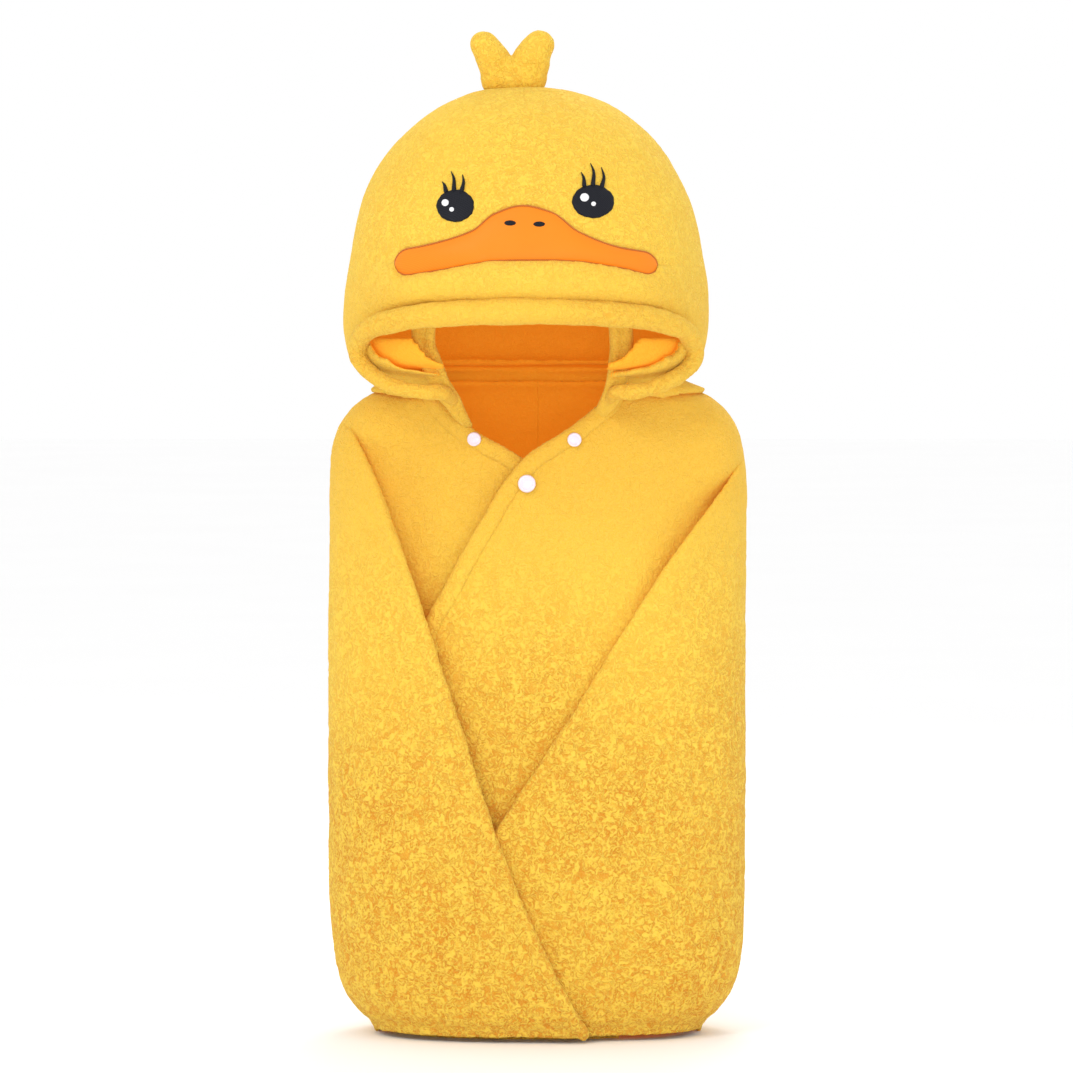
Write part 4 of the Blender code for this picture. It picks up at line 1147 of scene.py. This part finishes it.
def make_cap(cad_node):
    """Moulded snap cap: a shallow dish within a rounded rim, where the CAD's cap is."""
    low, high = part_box(cad_node)
    middle = np.array((low + high) / 2.0)
    out = body_out(middle[None])[0]
    out[2] = 0.04
    out /= np.linalg.norm(out)
    side = np.cross(out, (0.0, 0.0, 1.0))
    side /= np.linalg.norm(side)
    up = np.cross(side, out)
    radius = (high.z - low.z) / 2.0
    height = 0.0021 * radius / 0.0061
    base = middle + out * (0.001 - height * 0.5)
    turn = np.linspace(0.0, 2 * math.pi, 65)
    rings = []
    for r, h in CAP_PROFILE:
        spin = np.cos(turn)[:, None] * side + np.sin(turn)[:, None] * up
        rings.append(base + spin * radius * r + out * height * h)
    data = grid_mesh(np.array(rings), cad_node)
    rework(data, weld)
    rework(data, face_out)
    data.shade_smooth()
    made = add_object(cad_node + "_moulding", data)
    paint(made, "snap_plastic")
    return made


def snap_part(cad_node):
    """The CAD's own snap part, copied as a piece of its own with the snap resin."""
    part = scratch(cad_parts[cad_node].data.copy())
    part.matrix_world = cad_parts[cad_node].matrix_world.copy()
    part = evaluated(part, cad_node + "_moulding")
    part.data.shade_smooth()
    paint(part, "snap_plastic")
    return part


# ---- putting it together

BLENDS = {
    "left_wrap": ((-0.143, BODY_Y - 0.002, 0.43), (0.0, -0.033, -0.0043)),
    "right_wrap": ((0.143, BODY_Y - 0.002, 0.41), (0.0, -0.033, -0.0043)),
    "right_front": ((0.06, BODY_Y, 0.425), (-0.09, 0.0, -0.079)),
    "hood": ((0.0, 0.0, 0.448), (0.0, 0.0, 0.082)),
}


def put(made, body, slot, *cad_nodes):
    """The piece stands for its CAD nodes, which are hidden, and rides on the body; a piece for a body in BLENDS only
    has its place baked into its mesh.
    """
    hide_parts(*cad_nodes)
    if body in BLENDS:
        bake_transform(made)
    else:
        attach(made, body)


outer = make_outer_cloth()
left_front, right_front, left_band, right_band = make_fronts()
cover, lining, roll, face = make_hood()
bill, seam = make_bill()
details = make_face()
crest = make_crest()
put(outer["left"], "left_wrap", "fleece", "left_wrap", "back_panel")
put(outer["right"], "right_wrap", "fleece", "right_wrap")
put(left_front, "root", "fleece", "left_front_panel")
put(right_front, "right_front", "fleece", "right_front_panel")
put(left_band, "root", "fleece", "left_front_band")
put(right_band, "right_front", "fleece", "right_front_band")
put(cover, "hood", "fleece", "hood_shell")
put(lining, "hood", "lining", "hood_lining")
put(roll, "hood", "fleece", "brim_band")
put(face, "hood", "fleece", "face_edge_band")
put(bill, "hood", "bill", "bill_patch")
put(seam, "hood", "bill", "bill_edge_stitch")
for made, cad_node, slot in details:
    put(made, "hood", slot, cad_node)
put(crest, "crest", "fleece", "crest_tuft")
for name, body in (("centre", "right_front"), ("left", "root"), ("right", "right_front")):
    put(make_cap("snap_cap_" + name), body, "snap_plastic", "snap_cap_" + name)
for name in ("snap_socket_centre", "snap_back_right"):
    put(snap_part(name), "right_front", "snap_plastic", name)
for name in ("snap_stud_centre", "snap_stud_cap_centre", "snap_back_left"):
    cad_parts[name].data.materials.clear()
    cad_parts[name].data.materials.append(looks["snap_plastic"])

# ---- stage, light and camera

def make_stage():
    """Pale floor."""
    data = bpy.data.meshes.new("pale_floor")
    rim = [(12.0 * math.cos(a), 12.0 * math.sin(a), -0.0004) for a in np.linspace(0.0, 2 * math.pi, 97)[:-1]]
    data.from_pydata(rim, [], [tuple(range(96))])
    made = add_object("pale_floor", data)
    paper, tree, shader, place = new_material("pale_paper")
    grain = texture_noise(tree, place, 3.0, 2.0)
    link(tree, mixed(tree, ranged(tree, grain, 0.3, 0.7), (0.98, 0.98, 0.98), (0.99, 0.99, 0.99)),
         shader.inputs["Base Color"])
    shader.inputs["Roughness"].default_value = 0.9
    data.materials.append(paper)


def area_light(name, place, target, size, power):
    light = bpy.data.lights.new(name, "AREA")
    light.shape = "DISK"
    light.size = size
    light.energy = power
    made = add_object(name, light)
    made.location = place
    made.rotation_mode = "QUATERNION"
    made.rotation_quaternion = (Vector(target) - Vector(place)).to_track_quat("-Z", "Y")


make_stage()
area_light("key_upper_left", (-0.9, -1.5, 1.5), (0.0, 0.0, 0.36), 0.9, 10.5)
area_light("fill_right", (1.5, -1.3, 0.6), (0.0, 0.0, 0.34), 1.2, 3.0)
area_light("back_top", (0.2, 1.1, 1.5), (0.0, 0.0, 0.45), 0.9, 8.0)
area_light("front_low", (0.0, -2.2, 0.3), (0.0, 0.0, 0.45), 0.7, 6.5)
world = bpy.context.scene.world or bpy.data.worlds.new("soft_white")
bpy.context.scene.world = world
world.use_nodes = True
set_inputs(world.node_tree.nodes["Background"], {"Color": (1.0, 1.0, 1.0, 1.0), "Strength": 1.0})
bpy.context.scene.view_settings.view_transform = "Standard"

LENS = 180.0
SENSOR = 36.0
VIEW_WIDTH = 0.7296
ELEVATION = math.radians(3.0)
AIM = Vector((-0.001, -0.01, 0.343))
camera = bpy.data.cameras.new("photo_view")
camera.lens = LENS
camera.sensor_width = SENSOR
camera.clip_end = 50.0
photo_view = add_object("photo_view", camera)
distance = VIEW_WIDTH * LENS / SENSOR
back = Vector((0.0, -math.cos(ELEVATION), math.sin(ELEVATION)))
photo_view.location = AIM + back * distance
photo_view.rotation_mode = "QUATERNION"
photo_view.rotation_quaternion = (-back).to_track_quat("-Z", "Y")
bpy.context.scene.camera = photo_view
